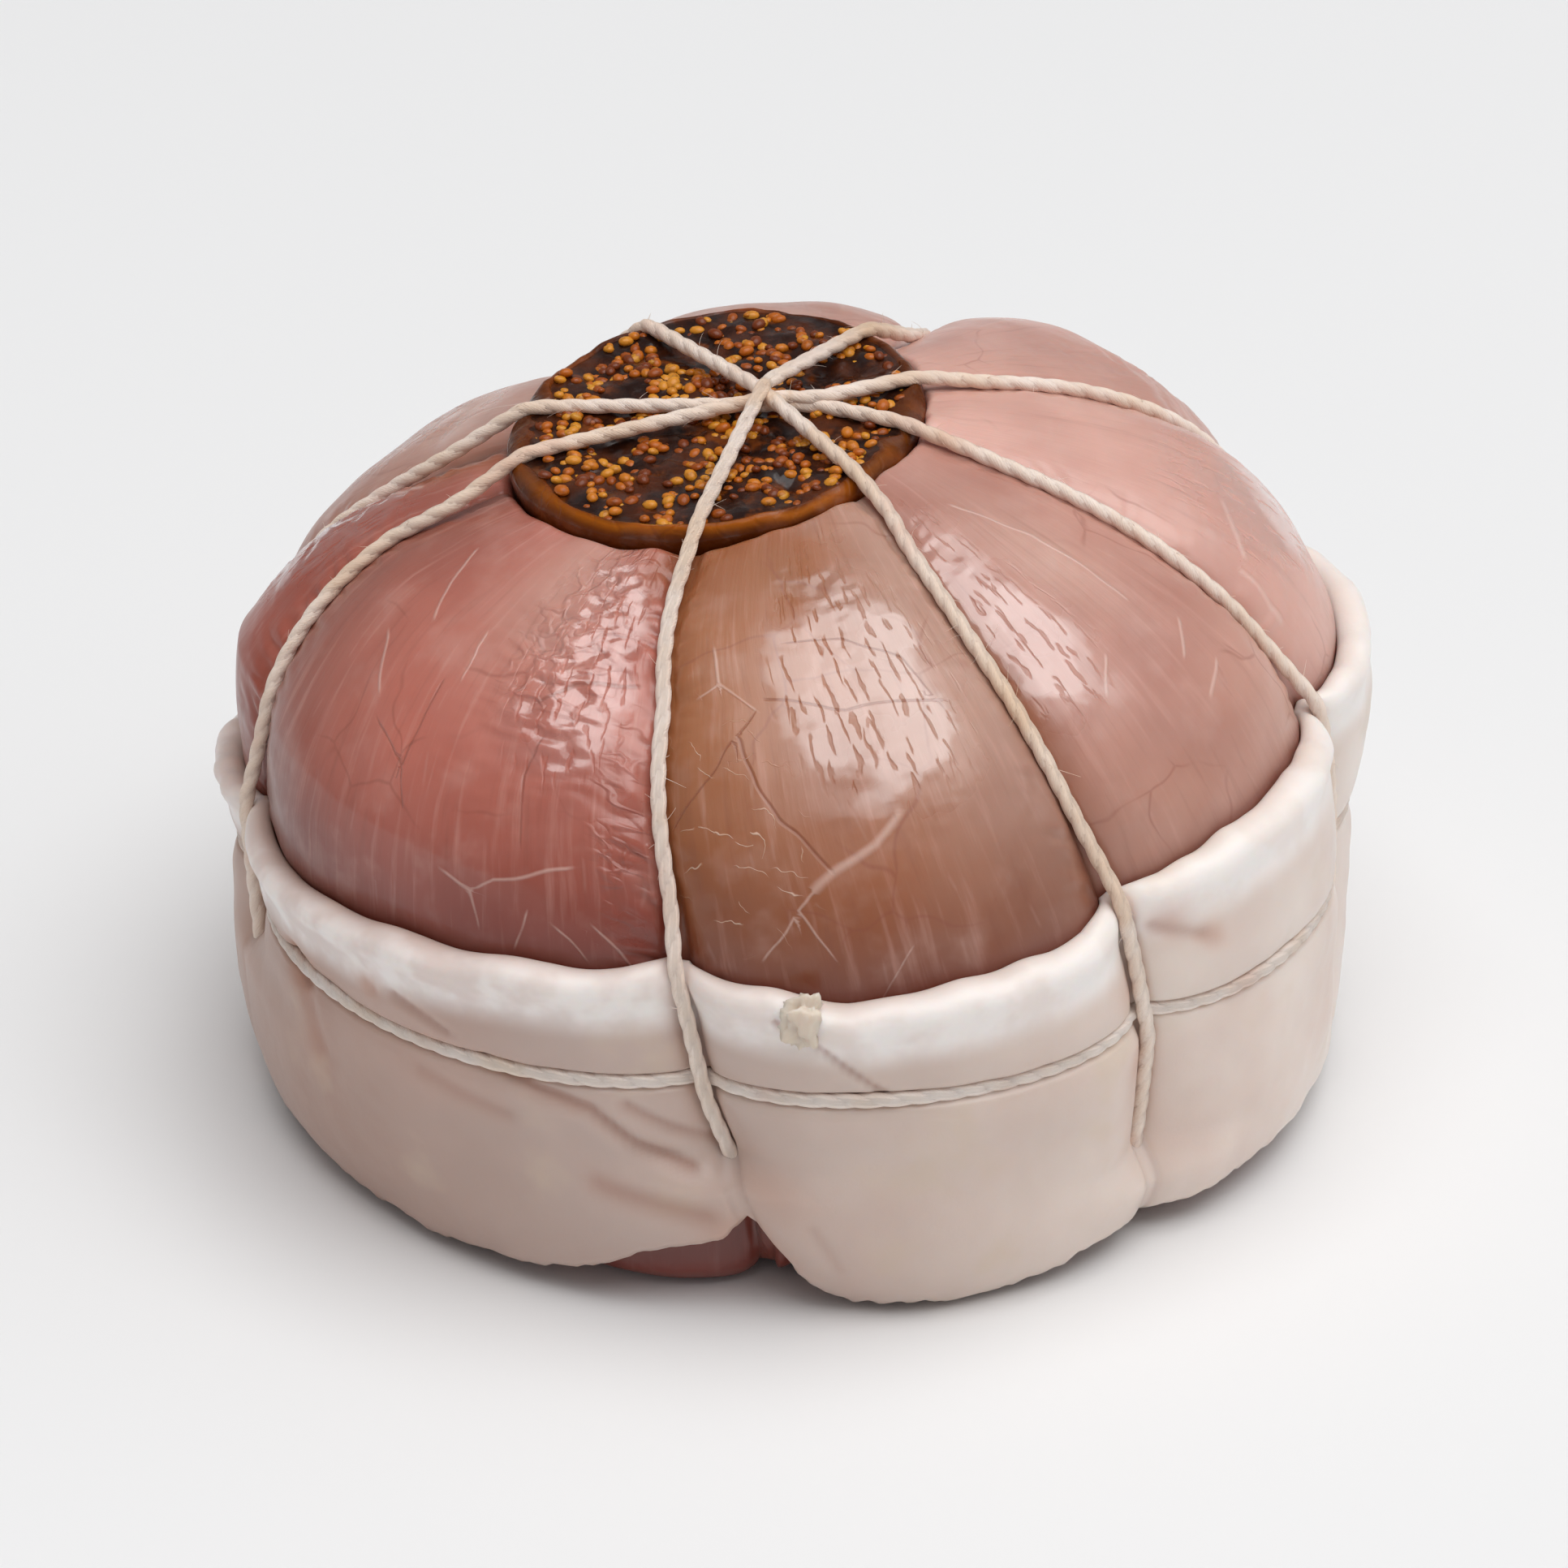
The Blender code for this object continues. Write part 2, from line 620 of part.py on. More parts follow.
def leg_route(leg):
    """The centre line of one leg, from the crossing on the fig to the one underneath."""
    lip = lip_point(leg)
    reach_lip = (lip.xy - Vector(CROSSING)).length
    split = Vector(SPLIT) - Vector(CROSSING)
    route = []
    for reach, height in leg_profile(leg):
        reach = max(reach, 0.0)
        flat = crossing_at(min(height, lip.z)) + leg_way(leg, height) * reach
        if leg in SPLIT_LEGS and height > lip.z and reach < reach_lip:
            if reach < split.length:
                flat = Vector(CROSSING) + split * (reach / split.length)
            else:
                share = (reach - split.length) / (reach_lip - split.length)
                flat = Vector(SPLIT).lerp(lip.xy, share)
        if height < STRING_WAY:
            height += leg_level(leg) * LAY * (1 - ease(reach / CROSSING_REACH))
        route.append(Vector((flat.x, flat.y, height)))
    return route


def spaced(points, spacing, bend=math.inf):
    """The same way with its points the given distance apart, and closer where it bends."""
    steps = [0.0]
    runs = [end - start for start, end in zip(points, points[1:])]
    for run, following in zip(runs, runs[1:] + runs[-1:]):
        steps.append(steps[-1] + run.length / spacing + run.angle(following, 0.0) / bend)
    count = round(steps[-1])
    result, index = [], 0
    for step in range(count + 1):
        target = steps[-1] * step / count
        while index < len(points) - 2 and steps[index + 1] < target:
            index += 1
        share = (target - steps[index]) / (steps[index + 1] - steps[index])
        result.append(points[index].lerp(points[index + 1], share))
    return result


def make_string(name, points):
    """A closed ring of string through its centre points."""
    curve = bpy.data.curves.new(name, "CURVE")
    curve.dimensions = "3D"
    curve.bevel_depth = STRING / 2
    curve.bevel_resolution = 1
    ring = curve.splines.new("POLY")
    ring.points.add(len(points) - 1)
    for knot, point in zip(ring.points, points):
        knot.co = (*standing(point), 1.0)
    ring.use_cyclic_u = True
    thing = bpy.data.objects.new(name, curve)
    bpy.context.scene.collection.objects.link(thing)
    bpy.context.view_layer.update()
    shape = bpy.data.meshes.new_from_object(thing.evaluated_get(bpy.context.evaluated_depsgraph_get()))
    bpy.data.objects.remove(thing)
    tube = bmesh.new()
    tube.from_mesh(shape)
    bmesh.ops.remove_doubles(tube, verts=tube.verts, dist=WELD)
    return add_piece(name, tube, (0.72, 0.62, 0.5), 0.8)


def make_crossed_string():
    """The string that goes over and under the roll four times, fused where it crosses."""
    loops = []
    for leg in range(LEGS // 2):
        there = spaced(leg_route(leg), LEG_STEP, LEG_BEND)
        back = spaced(leg_route(leg + LEGS // 2), LEG_STEP, LEG_BEND)
        loops.append(make_string("crossed_string", there + back[-2:0:-1]))
    return fuse(loops[0], loops[1:])


def make_girth_string():
    """The string tied round the fat, under the others."""
    points = [belt_point(column_place(column)) for column in range(LEGS * FAT_SIDES)]
    return make_string("girth_string", points)


for old in list(bpy.data.objects):
    bpy.data.objects.remove(old)
make_veal()
make_fat_band()
make_fig_half()
make_girth_string()
make_crossed_string()
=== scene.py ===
"""The looks of the veal paupiette, made piece by piece in the order in which a butcher makes it."""
import functools
import math
import random

import bmesh
import bpy
import numpy as np
from mathutils import Matrix, Vector, noise


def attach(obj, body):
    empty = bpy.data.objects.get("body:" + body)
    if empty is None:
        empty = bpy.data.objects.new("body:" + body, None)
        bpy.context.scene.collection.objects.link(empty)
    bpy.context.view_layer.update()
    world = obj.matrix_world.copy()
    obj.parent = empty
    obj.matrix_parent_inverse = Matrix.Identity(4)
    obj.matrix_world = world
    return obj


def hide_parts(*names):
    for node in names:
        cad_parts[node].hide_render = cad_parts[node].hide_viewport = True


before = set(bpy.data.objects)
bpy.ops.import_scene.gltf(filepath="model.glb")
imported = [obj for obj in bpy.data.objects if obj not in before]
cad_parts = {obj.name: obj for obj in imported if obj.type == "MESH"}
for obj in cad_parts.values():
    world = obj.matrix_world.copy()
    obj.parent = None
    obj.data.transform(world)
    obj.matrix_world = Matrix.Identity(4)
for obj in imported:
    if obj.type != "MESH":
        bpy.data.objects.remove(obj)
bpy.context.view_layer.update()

# The roll of meat is a veal escalope wound round its stuffing under a thin wet membrane. The
# string draws it into eight lobes, and a hollow on top holds the fig.
MM = 0.001
AXIS = (0.1 * MM, 0.0)      # where the roll's axis stands
GIRTH = 40.2 * MM           # radius at the crest of the lobes
TOP = 52.3 * MM             # height where the lobes meet on top
WAIST = 24.0 * MM           # height of the widest ring
SINK = 2.0 * MM             # how much of the round foot the flat base takes off
CROWN_POWER, FOOT_POWER = 2.5, 7.5  # squareness of the upper and the lower half's profile
TILT = 0.11                 # slope of the top towards the front
SHOULDER_RISE, POLE_RISE = 40.0, 88.0  # between them the dome meets the nest
FOOT_RISE = -62.0           # where the foot meets the flat base
VALLEY_FLOOR = 0.66 * MM    # half width of the valley's floor, on which the string lies
LOBE_SQUARE, LOBE_ROUND = 2.4, 0.62  # how flat a lobe is on its crest, how steep at its edge
FLOOR_MOST = 0.4            # the floor's half width is never more of a lobe than this
FLOOR_SLACK = 1.05          # columns this near, against the floor's half width, lie in it
LEAN = 0.9                  # the lobes swell a little less upwards than outwards
POLE_RADIUS = 12 * MM       # nearer to the axis the valleys keep the shape they have here
FULL_RADIUS = 30 * MM       # inside this radius the lobes and valleys grow shallower

# Each string leg down the roll: its turn round the axis in degrees and the depth in
# millimetres of the valley that it pulls into the meat, at heights from the foot to the crown
LEG_HEIGHTS = (4 * MM, 18 * MM, 34 * MM, 46 * MM, 51 * MM)
LEG_TURNS = (
    (-93, -99, -103, -108, -114), (-49, -50, -55.5, -60, -63), (-6, -7, -15, -19, -20),
    (27, 26, 25, 20, 22), (78, 76, 74, 70, 62), (122, 124, 126, 126, 130),
    (166, 168, 170, 172, 176), (194, 191, 193, 190, 196),
)
LEG_DEPTHS = (
    (5.2, 2.8, 3.0, 2.2, 1.6), (4.2, 2.6, 2.8, 2.2, 1.6), (1.0, 1.8, 2.4, 2.0, 1.4),
    (1.6, 2.2, 2.8, 1.6, 1.0), (2.2, 2.4, 3.0, 3.4, 2.6), (2.2, 2.4, 3.0, 3.8, 5.0),
    (1.8, 1.8, 2.0, 1.0, 0.6), (0.8, 1.6, 1.8, 1.0, 0.6),
)
# How far each lobe stands out from the even roll, at the same heights
LOBE_BULGES = (
    (0.0, 0.4, 0.0, 0.0, 0.0), (-0.4, 0.0, 0.0, 0.4, 0.2), (0.6, 0.2, 1.4, 1.2, 0.2),
    (0.4, 0.4, 1.8, 1.2, -0.2), (0.0, 0.0, 0.4, -0.8, -2.0), (0.0, 0.0, 0.4, -2.4, -3.0),
    (-0.2, -0.2, 1.8, -1.4, -2.4), (-0.6, 0.0, 0.8, 0.0, -0.4),
)
LEGS = len(LEG_TURNS)

# The nest for the fig, which the meat's lip hugs
NEST = (-5.5 * MM, 0.2 * MM)
FIG_RADIUS = 15.3 * MM
FIG_LONG, FIG_LONG_TURN = 0.06, 52  # how much longer than round the fig is, and which way
FIG_DEPTH = 9.5 * MM
FIG_FLANK, FIG_BELLY = 0.6, 0.8  # how upright its flanks are and how flat it is underneath
FIG_FACE = 52.1 * MM        # height of its cut face at the centre
FIG_SLOPES = (0.05, 0.1)    # how the face rises to the right and to the back
NEST_LIP = 0.8 * MM         # rounding where the meat turns down into the nest
HUG = 0.08 * MM             # what is left between the meat and the fig
LIP_RINGS = 7

# The strip of fat that lies round it: height of its rim and hem at turns round the roll
FAT_BED = 0.8 * MM          # how far it is drawn into the meat
BED_EDGE = 1.0 * MM
BED_SLOPE = 4.0 * MM
FAT_RIM = ((-180, 24.7), (-150, 25.0), (-125, 27.0), (-100, 27.8), (-82, 26.6), (-56, 28.2),
           (-48, 30.0), (-35, 31.8), (-10, 33.0), (10, 34.5), (30, 35.0), (60, 34.0),
           (100, 31.5), (140, 28.0), (180, 24.7))
FAT_HEM = ((-180, 2.0), (-132, 1.9), (-124, 2.4), (-118, 3.3), (-113.4, 4.5), (-110.6, 5.3),
           (-107.8, 5.9), (-102, 6.7), (-99, 8.4), (-97.4, 6.6), (-95.5, 4.4), (-92, 2.4),
           (-88, 1.8), (-72, 1.4), (-61, 2.8), (-45, 3.2), (-30, 3.4), (-10, 2.2), (180, 2.0))
FAT_TUCK = 3.4 * MM         # least height of the hem where a string leg draws it up
TUCK_REACH = 0.2

STRING_WAY = 2.0 * MM       # height of the grooves in which the string passes under the roll
BASE_REACH, BASE_DISH = 17.0 * MM, 3.9 * MM  # the base is dished, clear of the crossed strings

# The mesh of the meat
SIDES = 60                  # columns in each lobe
CROWDING = 0.5              # how much closer together they lie towards the valleys
UNDER = 3.0 * MM            # how far under the fat's rim the fine rings go
NEST_RINGS, DOME_RINGS, SIDE_RINGS, BASE_RINGS = 10, 150, 22, 8
# How finely a column is measured before its rings are placed on it
LIP_STEPS, LOW_STEPS, HIGH_STEPS, WALL_STEPS, DOME_STEPS = 400, 400, 300, 400, 500

# The meat's surface. Lumps and ripples: how deep, how long and the seed of their noise
LUMPS = ((0.36 * MM, 10.0 * MM, 3.1), (0.10 * MM, 3.4 * MM, 7.7))
# Depth of the folds before and beyond each leg, millimetres
PUCKER = ((0.62, 0.22), (0.2, 0.12), (0.16, 0.16), (0.14, 0.14), (0.2, 0.2), (0.2, 0.2),
          (0.22, 0.22), (0.26, 0.26))
PUCKER_LENGTH, PUCKER_REACH, PUCKER_WIDE = 1.5 * MM, 2.8 * MM, 4.0 * MM
PUCKER_START = 0.5 * MM     # how far from the string they are full
PUCKER_GAIN, PUCKER_LEVEL = 2.2, 0.55  # how steep they are and how far they sink between
PUCKER_CHANGE = 5.3         # how differently each leg gathers them
# Where the slack membrane lies in folds: place, height and reach in millimetres, and depth
GATHERS = ((7.76, 45.8, 7.5, 0.3), (7.83, 42.6, 3.0, 0.3), (1.14, 46.2, 5.0, 0.04),
           (0.58, 43.2, 6.5, 0.07), (3.3, 44.0, 6.0, 0.2), (4.75, 40.0, 6.0, 0.22),
           (6.2, 42.0, 5.0, 0.2))
FOLD_LONG, FOLD_SHORT, FOLD_SLANT = 3.4 * MM, 1.2 * MM, 0.3
FOLD_LEVEL, FOLD_GAIN = 0.7, 2.4  # how high they stand and how steep they are
FOLD_LEAST = 0.01           # shallower ones are left out
LIP_CORNER = 0.15 * MM      # how far the round lip's corner stands over the meat
LIP_START = 1.3             # how far down the wall the rounding starts, against its size
RAGGED_LIP, RAGGED_SIZE = 0.5 * MM, 1.9 * MM  # how unevenly the meat is pressed to the fig
RAGGED_LEVEL, RAGGED_REACH = 0.25, 1.8 * MM   # how much of it is, and how far from the lip
RAGGED_RISE = 1.4           # the lip rises and falls in waves this much longer
# The relief starts this far inside the lip and under the fat's rim, and is full this far on
RELIEF_AT_LIP, RELIEF_AT_RIM = (0.4 * MM, 2.5 * MM), (1.5 * MM, 2.0 * MM)
RELIEF_FULL = 1.6           # how soon it is full on a lobe
# The meat's painted shade: a dark line just above the fat's rim and darker valleys beside the
# strings
EDGE_SHADE = 0.8 * MM       # how far the dark line above the fat reaches
GULLY_SHADE = 1.1 * MM      # how far beside a string it is dark
# How far the meat swells out and sinks under the fat's hem, in millimetres at turns round the roll
FOOT_SWELL = ((-180, 0.0), (-123, 0.0), (-117, 0.9), (-110, 1.2), (-98, 1.4), (-94, 0.0),
              (180, 0.0))
FOOT_FALL = ((-180, 0.0), (-123, 0.0), (-118, 0.7), (-113, 1.3), (-110, 1.7), (-106, 2.2),
             (-102, 2.9), (-98, 3.2), (-94, 0.0), (180, 0.0))
FOOT_START, FOOT_FULL = 0.2 * MM, 1.6 * MM  # how far under the hem it starts and is full
MEET = 1e-5                 # corners of a unit form closer than this are one


def along(rows, place):
    """A value read off rows of (place, value), straight between them."""
    places, values = zip(*rows)
    return float(np.interp(place, places, values))


def leg_value(table, leg, height):
    """A leg's turn or depth at heights."""
    return np.interp(height, LEG_HEIGHTS, table[leg % LEGS])


def ease(value):
    """0 to 1 with level ends."""
    value = np.clip(value, 0.0, 1.0)
    return value * value * (3 - 2 * value)


def crest(rise):
    """Radius and height of the even roll; rise runs from -90 at the foot to 90 on top."""
    side, up = np.cos(np.radians(rise)), np.sin(np.radians(rise))
    high = np.abs(up) ** (2 / CROWN_POWER)
    low = np.abs(up) ** (2 / FOOT_POWER)
    radius = GIRTH * side ** (2 / np.where(up >= 0, CROWN_POWER, FOOT_POWER))
    height = WAIST + np.where(up >= 0, (TOP - WAIST) * high, -(WAIST + SINK) * low)
    return radius, height


def lobe_turn(place, height):
    """The turn of a place round the roll, where whole numbers are the legs and the rest lobes."""
    leg = math.floor(place)
    start = leg_value(LEG_TURNS, leg, height)
    end = leg_value(LEG_TURNS, leg + 1, height)
    if leg % LEGS == LEGS - 1:
        end = end + 360
    return start + (end - start) * (place - leg)


BELT = 18.9 * MM            # height of the string tied round the fat
BELT_SLOPE = 0.016          # how it rises to the right


def wrapped(turn):
    """A turn in degrees as one from -180 to 180."""
    return (turn + 180) % 360 - 180


def turn_at_belt(place):
    """The turn at the belt's height, from -180 to 180."""
    return wrapped(float(lobe_turn(place, BELT)))


def fat_rim(place):
    """Height of the top edge of the fat."""
    return along(FAT_RIM, turn_at_belt(place)) * MM


def fat_hem(place):
    """Height of the bottom edge of the fat; a string leg draws it up a little."""
    hem = along(FAT_HEM, turn_at_belt(place)) * MM
    pull = 1 - float(ease(abs(place - round(place)) / TUCK_REACH))
    return hem + max(FAT_TUCK - hem, 0.0) * pull


def lobe_width(place):
    """The angle that a lobe takes up, in radians."""
    leg = math.floor(place)
    return 2 * math.radians(float(lobe_turn(leg + 0.5, BELT) - lobe_turn(leg, BELT)))


def floor_share(place, radius):
    """Half the valley floor's width as a share of the lobe's width."""
    return np.minimum(VALLEY_FLOOR / (radius * lobe_width(place)), FLOOR_MOST)


def swelling(place, radius):
    """How far a lobe has swollen, 0 beside a string and 1 along its crest."""
    across = abs(2 * (place - math.floor(place)) - 1)
    across = np.minimum(across / (1 - 2 * floor_share(place, radius)), 1.0)
    return (1 - across ** LOBE_SQUARE) ** LOBE_ROUND


def bulge(place, height):
    """How far the lobes stand out, passing evenly from each lobe's crest to the next."""
    before = math.floor(place - 0.5)
    start = leg_value(LOBE_BULGES, before, height)
    end = leg_value(LOBE_BULGES, before + 1, height)
    return (start + (end - start) * ease(place - 0.5 - before)) * MM


def relief(place, radius, height):
    """How far the meat stands out from the even roll, less than nothing in a valley."""
    leg = math.floor(place)
    near = leg if place - leg < 0.5 else leg + 1
    valley = leg_value(LEG_DEPTHS, near, height) * MM * (1 - swelling(place, radius))
    bed = FAT_BED * ease((fat_rim(place) + BED_EDGE - height) / BED_SLOPE)
    return bulge(place, height) - valley - bed


def roll_points(place, rise, out=0.0):
    """Points down one column of the roll, or on a skin that lies the given distance outside."""
    rise = np.asarray(rise, float)
    radius, height = crest(rise)
    turn = np.radians(lobe_turn(place, height))
    deep = relief(place, np.maximum(radius, POLE_RADIUS), height)
    shift = deep * np.minimum(radius / FULL_RADIUS, 1.0) + out
    radius = radius + shift * np.cos(np.radians(rise))
    height = height + shift * np.sin(np.radians(rise)) * LEAN
    x, y = radius * np.cos(turn), radius * np.sin(turn)
    height = height + TILT * y * (np.maximum(height, 0.0) / TOP) ** 2
    in_floor = abs(place - round(place)) < floor_share(place, GIRTH) * FLOOR_SLACK
    return np.stack([x, y, np.maximum(height, STRING_WAY if in_floor else 0.0)], axis=-1)


def face_height(x, y):
    """Height of the fig's cut face, which leans to the front and the left."""
    return FIG_FACE + FIG_SLOPES[0] * (x - NEST[0]) + FIG_SLOPES[1] * (y - NEST[1])


def fig_radius(turn):
    """The fig isn't quite round."""
    return FIG_RADIUS * (1 + FIG_LONG * np.cos(2 * (turn - math.radians(FIG_LONG_TURN))))


def round_fig(turn, reach):
    """A place in plan, at a reach from the fig's centre."""
    return NEST[0] + reach * math.cos(turn), NEST[1] + reach * math.sin(turn)


def nest_points(turn, dip, clear=0.0):
    """Points down the fig's skin; dip runs from 0 at the cut face to 90 underneath."""
    side, down = np.cos(np.radians(dip)), np.sin(np.radians(dip))
    radius = fig_radius(turn) * np.abs(side) ** FIG_FLANK + clear * side
    x, y = round_fig(turn, radius)
    return np.stack([x, y, face_height(x, y) - FIG_DEPTH * down ** FIG_BELLY - clear * down],
                    axis=-1)


def from_nest(points):
    """How far points lie from the fig's centre, seen from above, and in which direction."""
    away = points[..., :2] - np.array(NEST)
    return np.hypot(away[..., 0], away[..., 1]), np.arctan2(away[..., 1], away[..., 0])


@functools.lru_cache(maxsize=None)
def lip_rise(place):
    """The rise at which the dome ends at the lip of the nest."""
    rises = np.linspace(SHOULDER_RISE, POLE_RISE, LIP_STEPS)
    reach, turn = from_nest(roll_points(place, rises))
    outside = reach - fig_radius(turn) - HUG - NEST_LIP
    return float(np.interp(0.0, outside[::-1], rises[::-1]))


@functools.lru_cache(maxsize=None)
def height_table(place):
    """Rises up a column and the heights at which the meat has them, close together just under
    the waist, where a small change of rise is a long way down."""
    low = FOOT_RISE * np.linspace(1.0, 0.0, LOW_STEPS) ** (FOOT_POWER / 2)
    rises = np.concatenate([low, np.linspace(0.0, lip_rise(place), HIGH_STEPS)[1:]])
    return rises, roll_points(place, rises)[:, 2]


def rise_at(place, height):
    """The rises at which the meat reaches heights."""
    rises, heights = height_table(place)
    return np.interp(height, heights, rises)


def column_place(column, sides=SIDES):
    """A column's place round the roll: valleys have one along each edge of their floor."""
    lobe, step = divmod(column, sides)
    if step == 0:
        return float(lobe)
    edge = float(floor_share(lobe + 0.5, GIRTH))
    share = (step - 1) / (sides - 2)
    share = (1 - CROWDING) * share + CROWDING * (0.5 - 0.5 * math.cos(math.pi * share))
    return lobe + edge + (1 - 2 * edge) * share


def evenly(values, points, count):
    """Values spread so that their points lie evenly apart along the way."""
    steps = np.linalg.norm(np.diff(points, axis=0), axis=1)
    run = np.concatenate([[0.0], np.cumsum(steps)])
    return np.interp(np.linspace(0.0, run[-1], count), run, values)


def foot_shift(place, heights):
    """How far the meat stands out and hangs down under the fat's hem."""
    under = ease((fat_hem(place) - FOOT_START - heights) / FOOT_FULL) * MM
    return (along(rows, turn_at_belt(place)) * under for rows in (FOOT_SWELL, FOOT_FALL))


def nest_part(lip, turn):
    """Points up the wall of the nest, and those of its round lip."""
    dips = np.linspace(0.0, 90.0, WALL_STEPS)
    depths = -nest_points(turn, dips, HUG)[:, 2]
    hold = float(np.interp(-lip[2], depths, dips))
    under = float(np.interp(NEST_LIP * LIP_START - lip[2], depths, dips))
    nest = nest_points(turn, np.linspace(90.0, under, NEST_RINGS), HUG)
    corner = nest_points(turn, hold, HUG)
    corner[2] = lip[2] + LIP_CORNER
    share = np.linspace(0.0, 1.0, LIP_RINGS + 2)[1:-1, None]
    return nest, (1 - share) ** 2 * nest[-1] + 2 * share * (1 - share) * corner + share ** 2 * lip


def skin_part(place, top):
    """Points down the outside from the lip to the foot, and the way outward at each."""
    low = float(rise_at(place, fat_rim(place) - UNDER))
    fine = np.linspace(top, low, DOME_STEPS)
    dome = evenly(fine, roll_points(place, fine), DOME_RINGS)
    side = np.linspace(low, FOOT_RISE, SIDE_RINGS + 1)[1:]
    rises = np.concatenate([dome, side])
    skin = roll_points(place, rises)
    out, down = foot_shift(place, skin[:, 2])
    skin[:, :2] *= (1 + out / np.hypot(skin[:, 0], skin[:, 1]))[:, None]
    skin[:, 2] = np.maximum(skin[:, 2] - down, 0.0)
    outward = skin - roll_points(place, rises, -1.0 * MM)
    return skin, outward / np.linalg.norm(outward, axis=1)[:, None]


def base_part(edge):
    """Points from the foot's edge to the middle of the dished base."""
    inward = np.linspace(0.0, 1.0, BASE_RINGS + 1)[1:, None]
    base = edge * (1 - inward)
    dish = np.where(np.hypot(base[:, 0], base[:, 1]) < BASE_REACH, BASE_DISH, 0.0)
    base[:, 2] = np.maximum(edge[2], dish)
    return base


def meat_column(place):
    """Points of one column from the middle of the nest to the middle of the base, and at each
    the way outward and the share of the surface's relief."""
    top = lip_rise(place)
    lip = roll_points(place, top)
    nest, turned = nest_part(lip, float(from_nest(lip)[1]))
    skin, outward = skin_part(place, top)
    points = np.concatenate([nest, turned, skin, base_part(skin[-1])])
    from_lip = np.linalg.norm(points - lip, axis=1)
    inward = np.array([NEST[0] - lip[0], NEST[1] - lip[1], 0.0])
    press = RAGGED_LIP * max(signed_noise(lip, RAGGED_SIZE, 2.2) + RAGGED_LEVEL, 0.0)
    wave = signed_noise(lip, RAGGED_RISE * RAGGED_SIZE, 5.1)
    share = ease(1 - from_lip[len(nest):] / RAGGED_REACH)[:, None]
    points[len(nest):] += inward / np.linalg.norm(inward) * press * share
    points[len(nest):, 2] += share[:, 0] * RAGGED_LIP * wave
    first = len(nest) + len(turned)
    on_skin = slice(first, first + len(skin))
    lively = ease((from_lip[on_skin] + RELIEF_AT_LIP[0]) / RELIEF_AT_LIP[1])
    over = skin[:, 2] - fat_rim(place)
    lively = lively * ease((over + RELIEF_AT_RIM[0]) / RELIEF_AT_RIM[1])
    fade = np.zeros(len(points))
    fade[on_skin] = lively * np.minimum(swelling(place, GIRTH) * RELIEF_FULL, 1.0)
    directions = np.zeros((len(points), 3))
    directions[on_skin] = outward
    return points, directions, fade


def signed_noise(point, size, seed):
    """Smooth noise from about -1 to 1 with lumps of a size, another for each seed."""
    return noise.noise(Vector(point) / size + Vector((seed, 0.0, -seed)))


def waves_at(point, rows):
    """Smooth noise of several sizes together; each row gives its depth, its size and its seed."""
    return sum(depth * signed_noise(point, size, seed) for depth, size, seed in rows)


def pucker(place, run, wide):
    """The small folds that a tight string gathers in the meat beside it."""
    leg = round(place)
    distance = max(abs(place - leg) * wide - VALLEY_FLOOR, 0.0)
    side = 1 if place > leg else -1
    spot = Vector((run / PUCKER_LENGTH, leg * PUCKER_CHANGE + side, distance / PUCKER_WIDE))
    bead = PUCKER_GAIN * abs(noise.noise(spot)) - PUCKER_LEVEL
    near = math.exp(-(distance / PUCKER_REACH) ** 2) * min(distance / PUCKER_START, 1.0)
    return PUCKER[leg % LEGS][side > 0] * MM * bead * near


def gathered(place, run, height, wide):
    """The folds of the slack membrane."""
    depth = 0.0
    for centre, level, reach, most in GATHERS:
        gap = math.hypot((place - centre) * wide / MM, height / MM - level) / reach
        depth = max(depth, most * math.exp(-gap * gap))
    if depth < FOLD_LEAST:
        return 0.0
    around = place * wide
    spot = Vector((around / FOLD_LONG, run / FOLD_SHORT, FOLD_SLANT * around / FOLD_SHORT))
    return depth * MM * (FOLD_LEVEL - FOLD_GAIN * abs(noise.noise(spot)))


def add_net(columns, rows, spot):
    """A net of faces over a closed form: spot gives the place of each corner from its turn and
    its share of the way, and corners that meet are one."""
    net = bmesh.new()
    bmesh.ops.create_grid(net, x_segments=columns, y_segments=rows, size=1.0)
    for vertex in net.verts:
        vertex.co = spot((vertex.co.x + 1) * math.pi, (vertex.co.y + 1) / 2)
    bmesh.ops.remove_doubles(net, verts=net.verts, dist=MEET)
    return net, np.array([vertex.co for vertex in net.verts])


def add_ball(columns, rings):
    """A closed ball, and the ring and the column of each of its corners."""
    ball, spots = add_net(columns, rings, lambda turn, share: Vector((
        math.sin(math.pi * share) * math.cos(turn), math.sin(math.pi * share) * math.sin(turn),
        math.cos(math.pi * share))))
    ring = np.rint(np.arccos(np.clip(spots[:, 2], -1, 1)) * rings / math.pi).astype(int)
    column = np.rint(np.arctan2(spots[:, 1], spots[:, 0]) * columns / (2 * math.pi)).astype(int)
    column[(ring == 0) | (ring == rings)] = 0
    return ball, ring, column % columns


def as_mesh(name, shape):
    """A mesh made from a bmesh, which is used up."""
    mesh = bpy.data.meshes.new(name)
    shape.to_mesh(mesh)
    shape.free()
    return mesh


def placed(name, data):
    """An object in the scene."""
    thing = bpy.data.objects.new(name, data)
    bpy.context.scene.collection.objects.link(thing)
    return thing


